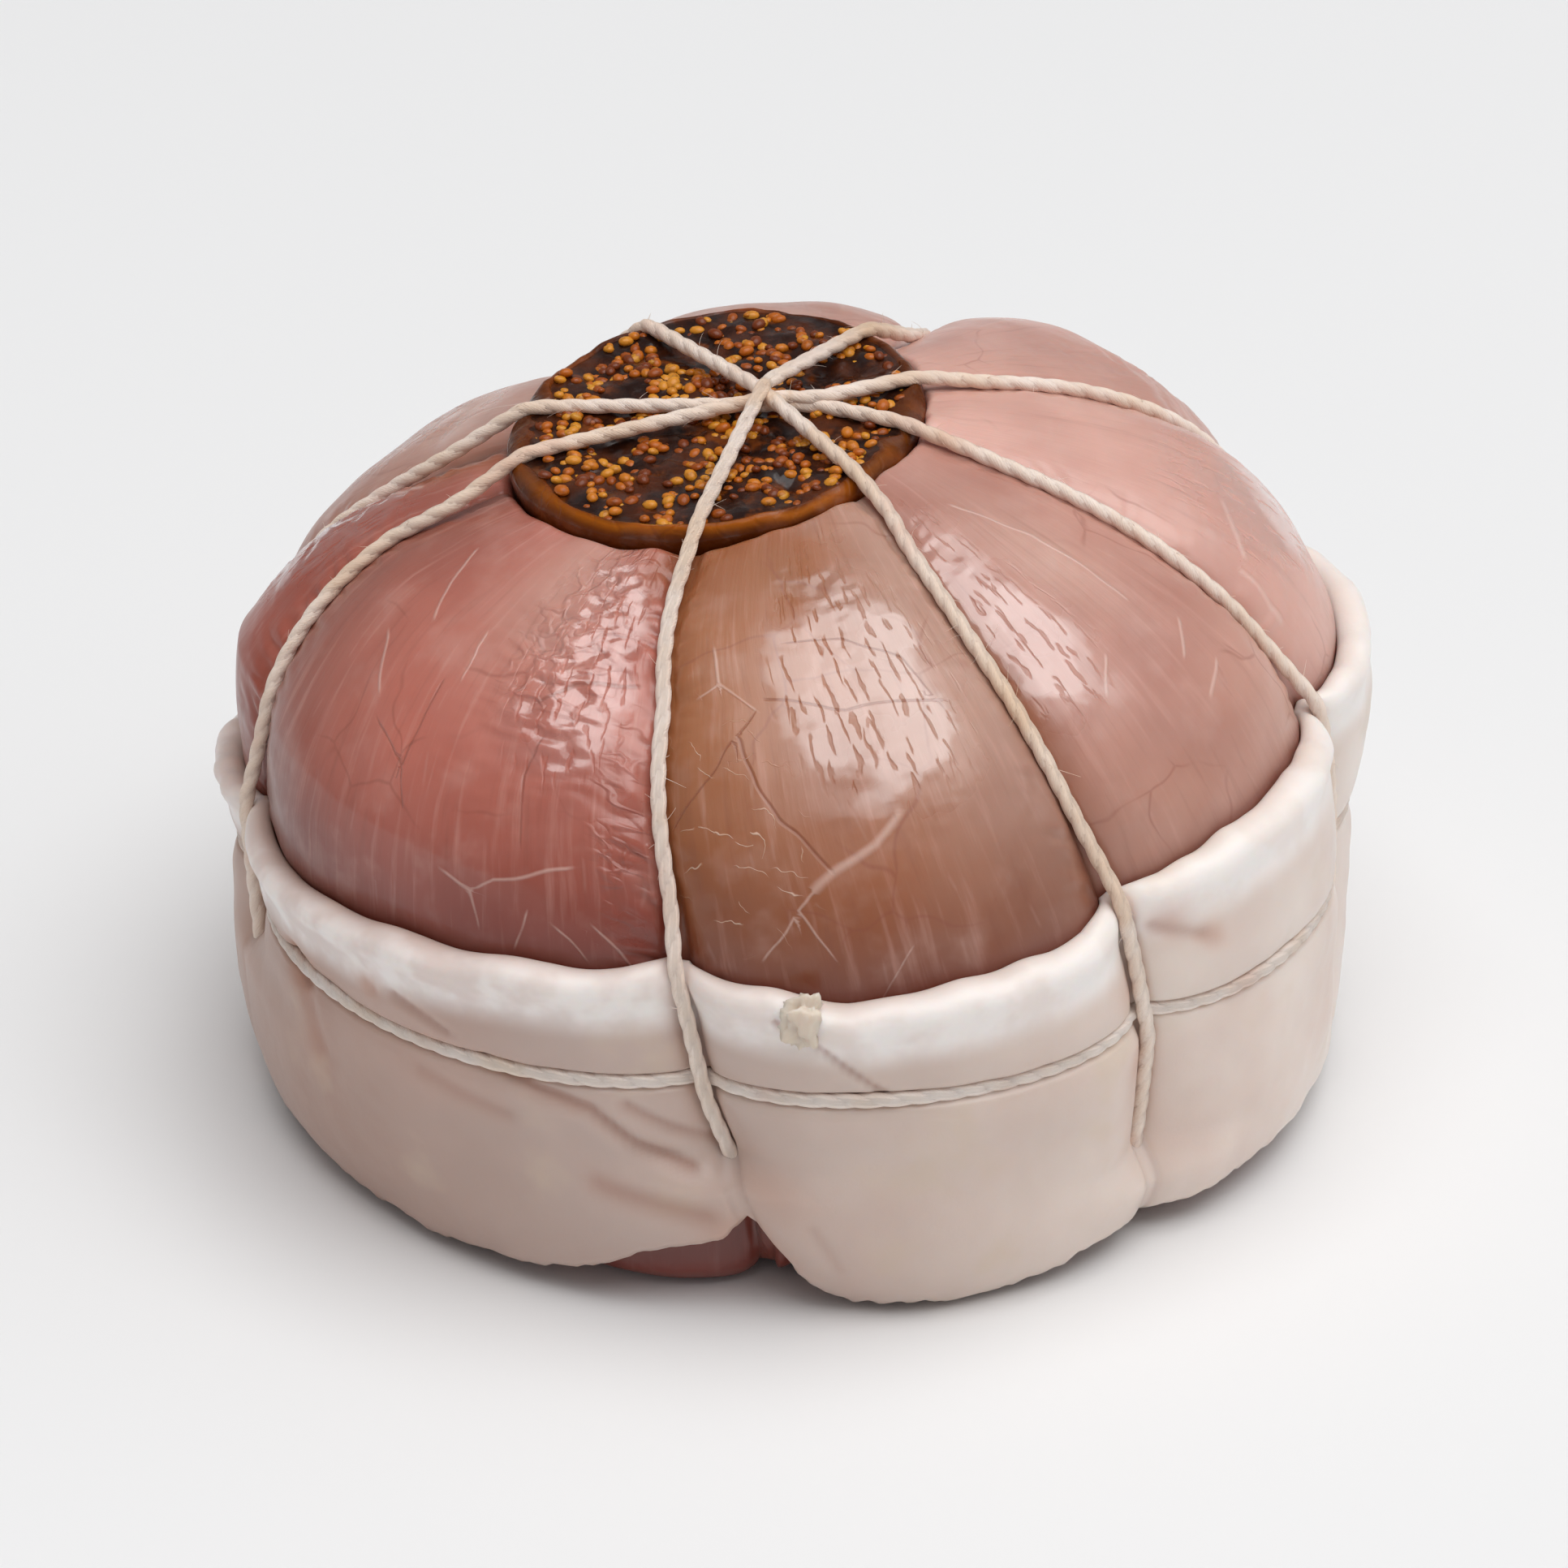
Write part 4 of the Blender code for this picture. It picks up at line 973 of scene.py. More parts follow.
# Soft waves and finer lumps of the surface, and the uneven cut of the hem: how deep, how long and
# the seed of their noise
WAVES = ((0.42 * MM, 9.0 * MM, 5.5), (0.16 * MM, 3.2 * MM, 2.5), (0.05 * MM, 1.2 * MM, 8.8))
HEM_RAGS = ((0.4 * MM, 1.1 * MM, 9.0), (0.5 * MM, 4.0 * MM, 1.0))
HEM_DEGREE = 0.7 * MM       # way along the hem for each degree
RIM_ZONE = 4.0 * MM         # how far down from the rim it waves up and down and swells out
RIM_WAVE, RIM_WAVE_SIZE = 0.46 * MM, 3.4 * MM
RIM_SWELL, RIM_SWELL_SIZE = 0.35 * MM, 5.0 * MM
# The rim's whiteness is painted light where it faces up, broken by the fat's own marbling
RIM_LIT_WHITE, RIM_PLATEAU = 2.4 * MM, 1.3  # how far down the rim's white reaches, and how full it is
MEAN_LOBE = 2 * math.pi / LEGS  # the angle of a lobe of mean width
# The brownish lines of painted shade over and under the belt, how strong and wide, and those beside
# the legs, how strong, far and wide, and over how many millimetres they end where the fat closes
# over the leg
ABOVE_DARK, BELOW_DARK, GROOVE_SHADE = 0.42, 0.04, 0.24 * MM
LEG_DARK, BESIDE_LEG, BESIDE_WIDE, LEG_DARK_END = 0.36, 0.75 * MM, 0.35 * MM, 2.0
CREASE_SPAN = 30.0          # degrees from a crease's start beyond which it isn't looked for
# A crease's dark line is painted shade
CREASE_DARK, CREASE_FADE = 2.0, 1.2  # how dark for its depth, and how narrow, its line is
# Cuts and folds in the fat's face: the turns and heights that they pass, half width and depth
FAT_CREASES = (
    (((-131.5, 22.0), (-125.0, 20.3)), 0.5, 0.34), (((-129.0, 16.4), (-120.0, 15.0)), 0.8, 0.26),
    (((-121.0, 18.6), (-116.0, 17.5), (-110.8, 16.6), (-107.6, 14.0), (-103.0, 12.2)), 0.6, 0.5),
    (((-107.0, 17.0), (-103.5, 15.2), (-99.6, 13.6)), 0.55, 0.36),
    (((-89.5, 25.4), (-86.4, 24.0), (-84.0, 22.0), (-81.2, 19.9)), 0.34, 0.34),
    (((-149.2, 18.8), (-147.9, 17.9)), 1.1, 1.0), (((-147.9, 17.9), (-145.2, 13.5)), 0.9, 0.3),
    (((-47.5, 26.8), (-43.0, 25.4)), 0.7, 0.3), (((-134.6, 21.9), (-134.0, 21.5)), 0.5, 0.2),
    (((-112.0, 10.8), (-103.0, 8.8)), 1.2, 0.4), (((-91.8, 8.6), (-90.4, 5.6)), 0.6, 0.15),
    (((18.0, 25.5), (24.0, 24.4), (31.0, 21.6), (35.0, 20.4)), 0.8, 0.16),
    (((57.0, 16.4), (64.0, 14.8), (72.0, 11.6), (75.0, 9.0)), 0.9, 0.16),
    (((99.0, 22.0), (106.0, 22.6), (114.0, 25.2)), 0.7, 0.14),
    (((147.0, 16.0), (152.0, 13.8), (161.0, 10.8), (165.0, 7.0)), 0.9, 0.16),
)
# The fat's colour at turns round the roll: darker on the left and lighter on the right, as painted
# shade and painted light
FAT_LIT_TONES = ((-180, (192, 163, 150)), (-145, (183, 151, 137)), (-110, (199, 177, 167)),
             (-80, (210, 190, 179)), (-45, (234, 219, 209)), (0, (236, 222, 213)),
             (90, (218, 200, 190)), (180, (192, 163, 150)))
# Juice stains, and painted shade beside the leg at turn -52.4: turn, height, reach in millimetres
# and strength
FAT_STAINS = ((-134.6, 21.8, 1.0, 0.8), (-46.2, 27.0, 1.6, 0.7), (-41.9, 25.1, 1.2, 0.7),
              (-52.4, 16.0, 1.6, 0.6), (-52.4, 22.0, 1.5, 0.5), (-148.5, 18.4, 1.8, 1.0),
              (-147.0, 13.0, 2.6, 0.4), (-95.0, 11.0, 3.0, 0.4), (-100.0, 6.5, 3.0, 0.6),
              (-20.0, 12.0, 4.0, 0.3), (48.0, 20.0, 3.0, 0.5), (110.0, 12.0, 4.0, 0.4))


def belt_height(place):
    """Height of the string tied round the fat."""
    return BELT + BELT_SLOPE * GIRTH * math.cos(math.radians(turn_at_belt(place)))


def fat_thickness(place, height=BELT):
    """The strip is pressed thinner where a string leg crosses it, and closes over it low down."""
    leg, pressed = round(place) % LEGS, 1 - float(swelling(place, GIRTH))
    closed = ease((CLOSED[leg] * MM - np.asarray(height)) / CLOSED_REACH)
    filled = np.minimum(CLOSED_FILL * leg_value(LEG_DEPTHS, leg, height) * MM / FAT, CLOSED_MOST)
    return FAT * (1 - pressed * ((1 - FAT_PRESSED) * (1 - closed) - filled * closed))


def fat_section(place):
    """Heights and depths of the points round the strip, from its hem up its face and down its
    back; depth is 0 against the meat and 1 on the face."""
    hem, rim, belt = fat_hem(place), fat_rim(place), belt_height(place)
    bend = np.linspace(0, math.pi, RIM_POINTS)
    outer = bend < math.pi / 2
    rim_heights = rim - np.where(outer, RIM_ROUND, RIM_INNER) * (1 - np.sin(bend))
    rim_depths = np.where(outer, RIM_TOP + (1 - RIM_TOP) * np.cos(bend),
                          RIM_TOP * (1 + np.cos(bend)))
    foot = np.linspace(math.pi, 0, HEM_POINTS)
    hem_heights = hem + HEM_ROUND - HEM_ROUND * np.sin(foot)
    hem_depths = 0.5 + 0.5 * np.cos(foot)
    lower = np.linspace(hem + HEM_ROUND, belt - BELT_ZONE, LOWER_POINTS + 1)[1:]
    middle = np.linspace(belt - BELT_ZONE, belt + BELT_ZONE, BELT_POINTS)[1:]
    upper = np.linspace(belt + BELT_ZONE, rim - RIM_ROUND, UPPER_POINTS + 1)[1:-1]
    face_heights = np.concatenate([lower, middle, upper])
    back_heights = np.linspace(rim - RIM_INNER, hem + HEM_ROUND, BACK_POINTS)[1:-1]
    heights = np.concatenate([hem_heights, face_heights, rim_heights, back_heights])
    depths = np.concatenate([hem_depths, face_heights * 0 + 1, rim_depths, back_heights * 0])
    return heights, depths


def belt_dent(drop):
    """How far the belt's string presses the fat in, at heights over its own."""
    soft = BELT_DRAW * np.exp(-(drop / BELT_DRAW_REACH) ** 2)
    inside = GROOVE_HALF * GROOVE_OPEN - np.abs(drop)
    return soft + GROOVE * ease(inside / (GROOVE_HALF * GROOVE_WALL))


def on_face(turn, height):
    """A place on the fat's face laid out flat, in millimetres."""
    return np.stack(np.broadcast_arrays(math.radians(turn) * GIRTH / MM, height), axis=-1)


def crease_dent(turn, heights):
    """How far the cuts and folds lie in at heights, and how near their middle lines are."""
    spots = on_face(turn, heights)
    dent, line = np.zeros(len(heights)), np.zeros(len(heights))
    for way, half, depth in FAT_CREASES:
        if abs(turn - way[0][0]) > CREASE_SPAN:
            continue
        for start, end in zip(way, way[1:]):
            first = on_face(*start)
            run = on_face(*end) - first
            share = np.clip((spots - first) @ run / (run @ run), 0.0, 1.0)
            gap = np.linalg.norm(spots - first - share[:, None] * run, axis=1) / half
            dent = np.maximum(dent, depth * np.exp(-gap ** 2))
            dark = min(depth * CREASE_DARK, 1.0)
            line = np.maximum(line, dark * np.exp(-(gap * CREASE_FADE) ** 2))
    return dent * MM, line


def fat_stain_and_shade(turn, heights):
    """How stained the fat is with the meat's juice, with painted shade beside the leg at turn
    -52.4.
    """
    share = np.zeros(len(heights))
    for centre, level, reach, strength in FAT_STAINS:
        gap = ((turn - centre) * math.radians(GIRTH / MM)) ** 2 + (heights - level) ** 2
        share = np.maximum(share, strength * np.exp(-gap / reach ** 2))
    return share


def fat_shades(place, turn, heights, line):
    """How much painted shade, stain and painted rim light the fat has at heights, with the given
    creases.
    """
    drop = heights - belt_height(place)
    above, below = (drop - GROOVE_HALF) / GROOVE_SHADE, (drop + GROOVE_HALF) / GROOVE_SHADE
    # Painted shade along the belt's groove and beside the legs
    groove = ABOVE_DARK * np.exp(-above ** 2) + BELOW_DARK * np.exp(-below ** 2)
    away = abs(place - round(place)) * GIRTH * MEAN_LOBE
    beside = LEG_DARK * math.exp(-((away - BESIDE_LEG) / BESIDE_WIDE) ** 2)
    beside = beside * ease((heights / MM - CLOSED[round(place) % LEGS]) / LEG_DARK_END)
    dark = np.maximum(np.maximum(line, groove), beside)
    # Painted light: whiter towards the rim
    white = ease(1 + RIM_PLATEAU - (fat_rim(place) - heights) / RIM_LIT_WHITE)
    return np.stack([dark, fat_stain_and_shade(turn, heights / MM), white], axis=1)


def fat_lit_tone(turn):
    """The fat's colour at a turn round the roll, with painted shade on the left and light on the
    right.
    """
    turns, tones = zip(*FAT_LIT_TONES)
    return [np.interp(turn, turns, channel) for channel in zip(*(shade(*tone) for tone in tones))]


def fat_column(place):
    """The closed section of the strip at a place, with its painted shade, stains and rim light and
    its colour.
    """
    heights, depths = fat_section(place)
    turn = turn_at_belt(place)
    near_rim = ease(1 - (fat_rim(place) - heights) / RIM_ZONE)
    uneven = RIM_WAVE * signed_noise((place * GIRTH * MEAN_LOBE, 0, 0), RIM_WAVE_SIZE, 6.6)
    rises = rise_at(place, heights + uneven * near_rim)
    dents, line = crease_dent(turn, heights / MM)
    dents = dents + belt_dent(heights - belt_height(place))
    waves = np.array([waves_at(point, WAVES) for point in roll_points(place, rises)])
    lip = 1 + signed_noise((place * GIRTH, 0.0, 0.0), RIM_SWELL_SIZE, 3.9)
    lip = RIM_SWELL * near_rim * lip
    face = fat_thickness(place, heights) * depths
    swell = float(swelling(place, GIRTH))
    out = FAT_TOUCH + face + (waves * swell + lip - dents) * depths ** 2
    points = roll_points(place, rises, out)
    ragged = waves_at((turn * HEM_DEGREE, 0, 0), HEM_RAGS)
    at_hem = ease(1 - (heights - heights.min()) / (2 * HEM_ROUND))
    points[:, 2] = np.maximum(points[:, 2] + ragged * at_hem, FAT_CLEAR)
    shades = fat_shades(place, turn, heights, line) * depths[:, None]
    return points, shades, np.tile(fat_lit_tone(turn), (len(points), 1))


RING_SECTION = 0.3          # radius of the section, where the ring's own radius is 1


def add_ring(columns, corners):
    """A closed ring of round section, and the column and corner of each of its vertices."""

    def spot(turn, share):
        out = 1 + RING_SECTION * math.cos(2 * math.pi * share)
        return Vector((out * math.cos(turn), out * math.sin(turn),
                       RING_SECTION * math.sin(2 * math.pi * share)))

    ring, spots = add_net(columns, corners, spot)
    column = np.rint(np.arctan2(spots[:, 1], spots[:, 0]) * columns / (2 * math.pi)).astype(int)
    outward = np.hypot(spots[:, 0], spots[:, 1]) - 1
    turned = np.arctan2(spots[:, 2], outward) * corners / (2 * math.pi)
    return ring, column % columns, np.rint(turned).astype(int) % corners


def make_fat_finish():
    """Back fat: satin, slightly waxy, milky with pink and yellow tinges, painted shade in its
    folds.
    """
    material, tree, shader = add_finish(
        "fat", Roughness=0.42, Subsurface_Weight=0.4, Subsurface_Radius=(1.0, 0.6, 0.42),
        Subsurface_Scale=0.002, Coat_Weight=0.12, Coat_Roughness=0.3)
    place, tone, marks = object_place(tree), carried(tree, "tone"), channels(tree, "marks")
    mottle = blotches(tree, place, 70.0, 0.3, 0.7)
    colour = mottled(tree, tone, mottle, (0.94, 0.92, 0.91), (1.05, 1.06, 1.06))
    pink = blotches(tree, place, 45.0, 0.52, 0.75)
    colour = tinted(tree, colour, pink, 0.4, 200, 164, 150)
    cream = blotches(tree, place, 130.0, 0.56, 0.72)
    colour = tinted(tree, colour, cream, 0.35, 214, 194, 170)
    marble = blotches(tree, place, 210.0, 0.35, 0.65)
    marble = spread(tree, marble, 0.0, 1.0, 0.65, 1.0)
    # Painted light: the rim is whiter where it faces up, broken by the fat's own marbling
    colour = tinted(tree, colour, marks["Blue"], marble, 250, 242, 238)
    # Juice stains, and painted shade beside one string leg
    colour = tinted(tree, colour, marks["Green"], 0.7, 196, 142, 116)
    # Painted shade in the creases, along the belt's groove and beside the string legs
    colour = tinted(tree, colour, marks["Red"], 0.6, 172, 120, 98)
    tree.links.new(colour, shader.inputs["Base Color"])
    broad = reckon(tree, "MULTIPLY", weave(tree, place, 180.0, 2.0), 2.0)
    height = reckon(tree, "ADD", weave(tree, place, 620.0, 4.0), broad)
    set_relief(tree, shader, height, 0.35, 0.0002)
    return material


FAT_FINISH = make_fat_finish()


def make_fat():
    """The strip of fat as a closed ring."""
    columns = LEGS * FAT_SIDES
    made = [fat_column(column_place(column, FAT_SIDES)) for column in range(columns)]
    table, shades, tones = (np.array(part) for part in zip(*made))
    ring, column, corner = add_ring(columns, table.shape[1])
    add_piece("fat", ring, table[column, corner], FAT_FINISH, ("fat_band",),
              {"marks": shades[column, corner], "tone": tones[column, corner]})


make_fat()

# A crumb that came off the fat's cut edge sticks to the front of the rim. It is of the same fat,
# a little yellower, and half of it lies in the rim's round edge.
CRUMB_TURN, CRUMB_HEIGHT = -86.6, 25.9 * MM
CRUMB_SIZE = (1.45 * MM, 0.75 * MM, 1.75 * MM)  # half its width, depth and height
CRUMB_SUNK = 0.45 * MM      # how far it lies inside the face, where the rim turns in
CRUMB_LEAN = np.array([0.1, 0.1, 1.0])
CRUMB_LUMPS = ((0.7, 1.5), (0.3, 4.5))  # how deep and how fine
CRUMB_TONE = shade(218, 202, 186)
PLACE_MARKS = 50            # turns known in each lobe, between which places are found
BELT_PLACES = np.linspace(0.0, LEGS, LEGS * PLACE_MARKS, endpoint=False)
BELT_TURNS = np.array([float(lobe_turn(place, BELT)) for place in BELT_PLACES])


def place_at_turn(turn):
    """The place whose turn at the belt is the given one."""
    start = BELT_TURNS[0]
    return float(np.interp(start + (turn - start) % 360, BELT_TURNS, BELT_PLACES))


def make_crumb():
    """A scrap of fat that sticks to the outside of the rim."""
    crumb = bmesh.new()
    bmesh.ops.create_icosphere(crumb, subdivisions=4, radius=1.0)
    place = place_at_turn(CRUMB_TURN)
    middle = roll_points(place, rise_at(place, CRUMB_HEIGHT), FAT_TOUCH + FAT - CRUMB_SUNK)
    turn = math.radians(CRUMB_TURN)
    wide, deep, tall = CRUMB_SIZE
    round_way = wide * np.array([-math.sin(turn), math.cos(turn), 0.0])
    out_way = deep * np.array([math.cos(turn), math.sin(turn), 0.0])
    points = []
    for vertex in crumb.verts:
        spot = vertex.co
        size = 1 + sum(depth * noise.noise(spot * fine) for depth, fine in CRUMB_LUMPS)
        points.append(middle + size * (spot.x * round_way + spot.y * out_way
                                       + spot.z * tall * CRUMB_LEAN))
    flat = np.zeros((len(points), 3))
    add_piece("crumb", crumb, points, FAT_FINISH, (),
              {"marks": flat, "tone": flat + CRUMB_TONE})


make_crumb()

# Half a dried fig, cut face up: a soft leathery skin, golden where it is thin, round dark sticky
# pulp full of golden seeds. The crossed strings hold it in its nest.
FIG_SIDES = 256
PULP_RINGS, RIM_RINGS, SKIN_RINGS = 44, 8, 40
# Width of the skin's edge round the pulp in millimetres, by its turn round the fig
FIG_RIM = ((-180, 1.9), (-150, 1.2), (-120, 0.6), (-60, 0.7), (-35, 1.4), (-5, 1.8), (30, 1.2),
           (90, 0.8), (150, 1.2), (180, 1.9))
# How brown the skin is, by the same turns
BROWN_TURNS = ((-180, 0.95), (-150, 0.6), (-125, 0.1), (-60, 0.05), (-35, 0.6), (0, 0.9),
               (60, 0.9), (120, 0.9), (180, 0.95))
RIM_UNEVEN, RIM_UNEVEN_SIZE = 0.45, 0.22  # how unevenly wide it is, round a circle of radius 1
RIM_RAGS, RIM_RAG_SIZE = 1.3, 0.09        # and how ragged where it is wider than a millimetre
RIM_STAND = 0.42 * MM       # how far that edge stands over the pulp
RIM_CIRCLE = 3.0 * MM       # the circle round which it waves: how deep, how long and the seed
RIM_WAVES = ((0.9 * RIM_STAND, 0.8 * MM, 9.4), (0.15 * MM, 0.25 * MM, 3.4))
RIM_SQUARE = 1.3            # how pointed its section is
SKIN_DIP = 5.0              # where down the skin that edge begins
# Low on the wall, where it sinks into the nest, it darkens with painted shade
WALL_CLEAR, WALL_DARK = 1.2 * MM, 2.2 * MM  # how far down the wall is clear and then turns dark
WALL_SHADE = 0.9            # how dark it is then
PULP_SINK = 0.4 * MM        # how far the pulp lies below the fig's face
PULP_SETTLE = 9.0           # how steeply its lumps settle at its edge
PULP_LUMPS = ((0.36 * MM, 2.1 * MM, 1.3), (0.144 * MM, 0.84 * MM, 4.1))
# Hollows without seeds: place from the fig's centre, reach and depth in millimetres
HOLLOWS = ((-2.2, 9.8, 2.4, 0.7), (5.4, -9.6, 1.1, 0.5), (-7.5, -4.0, 1.5, 0.5),
           (3.0, 4.0, 1.3, 0.45), (8.6, 5.0, 1.6, 0.5))
WRINKLE, WRINKLE_SIZE, WRINKLE_DRAWN = 0.22 * MM, 2.6 * MM, 0.6
WRINKLE_CIRCLE = 9.0 * MM   # the circle round which the wrinkles are measured
WRINKLE_LEVEL = 0.6         # how far the skin sinks between them
CRINKLE, CRINKLE_SIZE = 0.5, 0.35  # finer ones, against the wrinkles
WRINKLE_START = 9.0         # how far down they are full
EDGE_SKIN = 0.3             # how much like skin the pulp's last ring looks
BRIGHT_WIDE = 1.5           # width of the bright line along the edge, in rings


def hollow_depth(x, y):
    """How deep the hollows lie at a place on the pulp."""
    deepest = 0.0
    for along_x, along_y, reach, depth in HOLLOWS:
        gap = math.hypot(x - NEST[0] - along_x * MM, y - NEST[1] - along_y * MM) / (reach * MM)
        deepest = max(deepest, depth * MM * math.exp(-gap * gap))
    return deepest


def pulp_height(x, y):
    """Height of the lumpy pulp."""
    return face_height(x, y) - PULP_SINK + waves_at((x, y, 0), PULP_LUMPS) - hollow_depth(x, y)


def rim_inside(turn):
    """How far from the middle the pulp ends."""
    width = along(FIG_RIM, wrapped(math.degrees(turn)))
    spot = (math.cos(turn), math.sin(turn), 0)
    uneven = 1 + RIM_UNEVEN * signed_noise(spot, RIM_UNEVEN_SIZE, 6.0)
    uneven += RIM_RAGS * ease(width - 1) * signed_noise(spot, RIM_RAG_SIZE, 1.5)
    return float(fig_radius(turn)) - width * MM * uneven


def pulp_part(turn, inner):
    """Points of the pulp from the middle out to where its edge stands."""
    pulp = []
    for ring in range(PULP_RINGS):
        reach = inner * ring / (PULP_RINGS - 1)
        x, y = round_fig(turn, reach)
        settle = float(ease((1 - ring / (PULP_RINGS - 1)) * PULP_SETTLE))
        floor = face_height(x, y) - PULP_SINK
        pulp.append((x, y, floor + (pulp_height(x, y) - floor) * settle))
    return pulp


def rim_part(turn, inner):
    """Points over the skin's standing edge."""
    rim = []
    edge = nest_points(turn, SKIN_DIP)
    outer = math.hypot(edge[0] - NEST[0], edge[1] - NEST[1])
    around = (math.cos(turn) * RIM_CIRCLE, math.sin(turn) * RIM_CIRCLE, 0.0)
    stand = RIM_STAND + waves_at(around, RIM_WAVES)
    for ring in range(RIM_RINGS):
        bend = math.pi * ring / RIM_RINGS
        share = 0.5 - 0.5 * math.cos(bend)
        reach = inner + (outer - inner) * share
        x, y = round_fig(turn, reach)
        face = face_height(x, y)
        low = face - PULP_SINK * (1 - share) - (face - edge[2]) * share
        rim.append((x, y, low + stand * math.sin(bend) ** RIM_SQUARE))
    return rim


def fig_column(turn):
    """Points of the fig from the middle of its face over the rim and down its wrinkled skin."""
    inner = rim_inside(turn)
    dips = np.linspace(SKIN_DIP, 90.0, SKIN_RINGS)
    skin = nest_points(turn, dips)
    around = turn * WRINKLE_CIRCLE
    for point, dip in zip(skin, dips):
        drawn = (around, 0, point[2] * WRINKLE_DRAWN)
        crinkle = abs(signed_noise(drawn, WRINKLE_SIZE, 8.0)) - WRINKLE_LEVEL
        fine = signed_noise((around, 0, point[2]), WRINKLE_SIZE * CRINKLE_SIZE, 2.0)
        started = float(ease((dip - SKIN_DIP) / WRINKLE_START))
        fold = WRINKLE * (crinkle + CRINKLE * fine) * started * math.cos(math.radians(dip))
        point[:2] += fold * np.array([math.cos(turn), math.sin(turn)])
    return np.concatenate([pulp_part(turn, inner), rim_part(turn, inner), skin])


def make_fig_finish():
    """Glossy dark pulp inside a rim and a wall of amber skin, browner on the left and behind."""
    material, tree, shader = add_finish(
        "fig", Roughness=0.34, Subsurface_Weight=0.35, Subsurface_Radius=(1.0, 0.45, 0.1),
        Subsurface_Scale=0.0016, Coat_Roughness=0.1, Specular_IOR_Level=0.1)
    place, zones = object_place(tree), channels(tree, "zone")
    cloud = blotches(tree, place, 330.0, 0.4, 0.7)
    pulp = blend(tree, cloud, shade(34, 14, 8), shade(78, 36, 16))
    amber = blotches(tree, place, 420.0, 0.56, 0.7)
    pulp = tinted(tree, pulp, amber, 0.6, 128, 62, 14)
    golden = blotches(tree, place, 160.0, 0.35, 0.65)
    skin = blend(tree, golden, shade(80, 32, 2), shade(118, 54, 5))
    brown = blend(tree, cloud, shade(70, 30, 10), shade(124, 64, 26))
    skin = blend(tree, zones["Green"], skin, brown)
    burnt = blotches(tree, place, 210.0, 0.56, 0.66)
    skin = tinted(tree, skin, burnt, 0.6, 84, 34, 6)
    colour = tinted(tree, blend(tree, zones["Red"], pulp, skin), zones["Blue"], 0.8, 178, 98, 15)
    tree.links.new(colour, shader.inputs["Base Color"])
    glaze = blotches(tree, place, 500.0, 0.45, 0.6)
    gloss = reckon(tree, "ADD", reckon(tree, "MULTIPLY", glaze, 0.5), 0.08)
    tree.links.new(gloss, shader.inputs["Coat Weight"])
    crease = use_group(tree, CREASES, Vector=place, Scale=420.0, Width=0.12, Wander=0.002)
    height = reckon(tree, "SUBTRACT", weave(tree, place, 800.0, 4.0),
                    reckon(tree, "MULTIPLY", crease, 0.3))
    set_relief(tree, shader, height, 0.7, 0.0002)
    return material


def make_fig():
    """The half fig, one closed body."""
    rings = PULP_RINGS + RIM_RINGS + SKIN_RINGS - 1
    ball, ring, column = add_ball(FIG_SIDES, rings)
    turns = [2 * math.pi * side / FIG_SIDES for side in range(FIG_SIDES)]
    table = np.array([fig_column(turn) for turn in turns])
    table[:, 0] = table[0, 0]
    table[:, -1] = table[0, -1]
    outer = np.zeros(rings + 1)
    outer[PULP_RINGS:] = 1.0
    outer[PULP_RINGS - 1] = EDGE_SKIN
    brown = np.array([along(BROWN_TURNS, wrapped(math.degrees(turn))) for turn in turns])
    from_crest = np.arange(rings + 1) - PULP_RINGS - RIM_RINGS * 0.5
    bright = np.exp(-(from_crest / BRIGHT_WIDE) ** 2)[ring] * (1 - brown[column]) * outer[ring]
    spots = table[column, ring]
    sunk = face_height(spots[:, 0], spots[:, 1]) - spots[:, 2]
    # Brown by its turn, and painted shade low on the wall
    dark = np.maximum(brown[column], WALL_SHADE * ease((sunk - WALL_CLEAR) / WALL_DARK))
    zones = np.stack([outer[ring], dark, bright], axis=1)
    add_piece("fig", ball, spots, make_fig_finish(), ("fig_half",), {"zone": zones})


make_fig()

# The fig's seeds are hard shiny grains that lie in clusters in the pulp, level with its face or
# half sunk in it, some clear gold and others clouded by it.
SEEDS = 860
SEED_LONG = 0.58 * MM       # half a seed's length
SEED_SLIM, SEED_FLAT = 0.82, 0.8  # its breadth against its length and its height against that
SEED_FACES = (8, 6)
SEED_TONES = ((212, 140, 40), (200, 118, 26), (182, 96, 18), (154, 74, 12), (116, 50, 10))
SEED_SIZES = (0.6, 1.1)     # least and greatest, against SEED_LONG
SEED_TIP = 25               # degrees that it is tipped by at most
SEED_LEVELS = (-0.28, 0.12)  # how far over the pulp its middle lies, in millimetres
SEED_EDGE = 0.6             # how far in from the pulp's edge they end, against SEED_LONG
SEED_STRAY, SEED_SWING = 0.4 * MM, 0.04  # how far they lie from an even spread, out and round
CLUSTER_SIZE, CLUSTER_LEAST = 3.6 * MM, -0.24
BARE_DEPTH = 0.22 * MM      # hollows deeper than this have no seeds
DEEPEST = 0.999             # just under 1, so that it still finds a tone


def seed_shape():
    """One seed as a mesh of unit length."""
    grain = bmesh.new()
    bmesh.ops.create_uvsphere(grain, u_segments=SEED_FACES[0], v_segments=SEED_FACES[1], radius=1.0)
    bmesh.ops.rotate(grain, matrix=Matrix.Rotation(math.pi / 2, 3, "Y"), verts=grain.verts)
    bmesh.ops.scale(grain, vec=(1.0, SEED_SLIM, SEED_SLIM * SEED_FLAT), verts=grain.verts)
    return as_mesh("seed", grain)


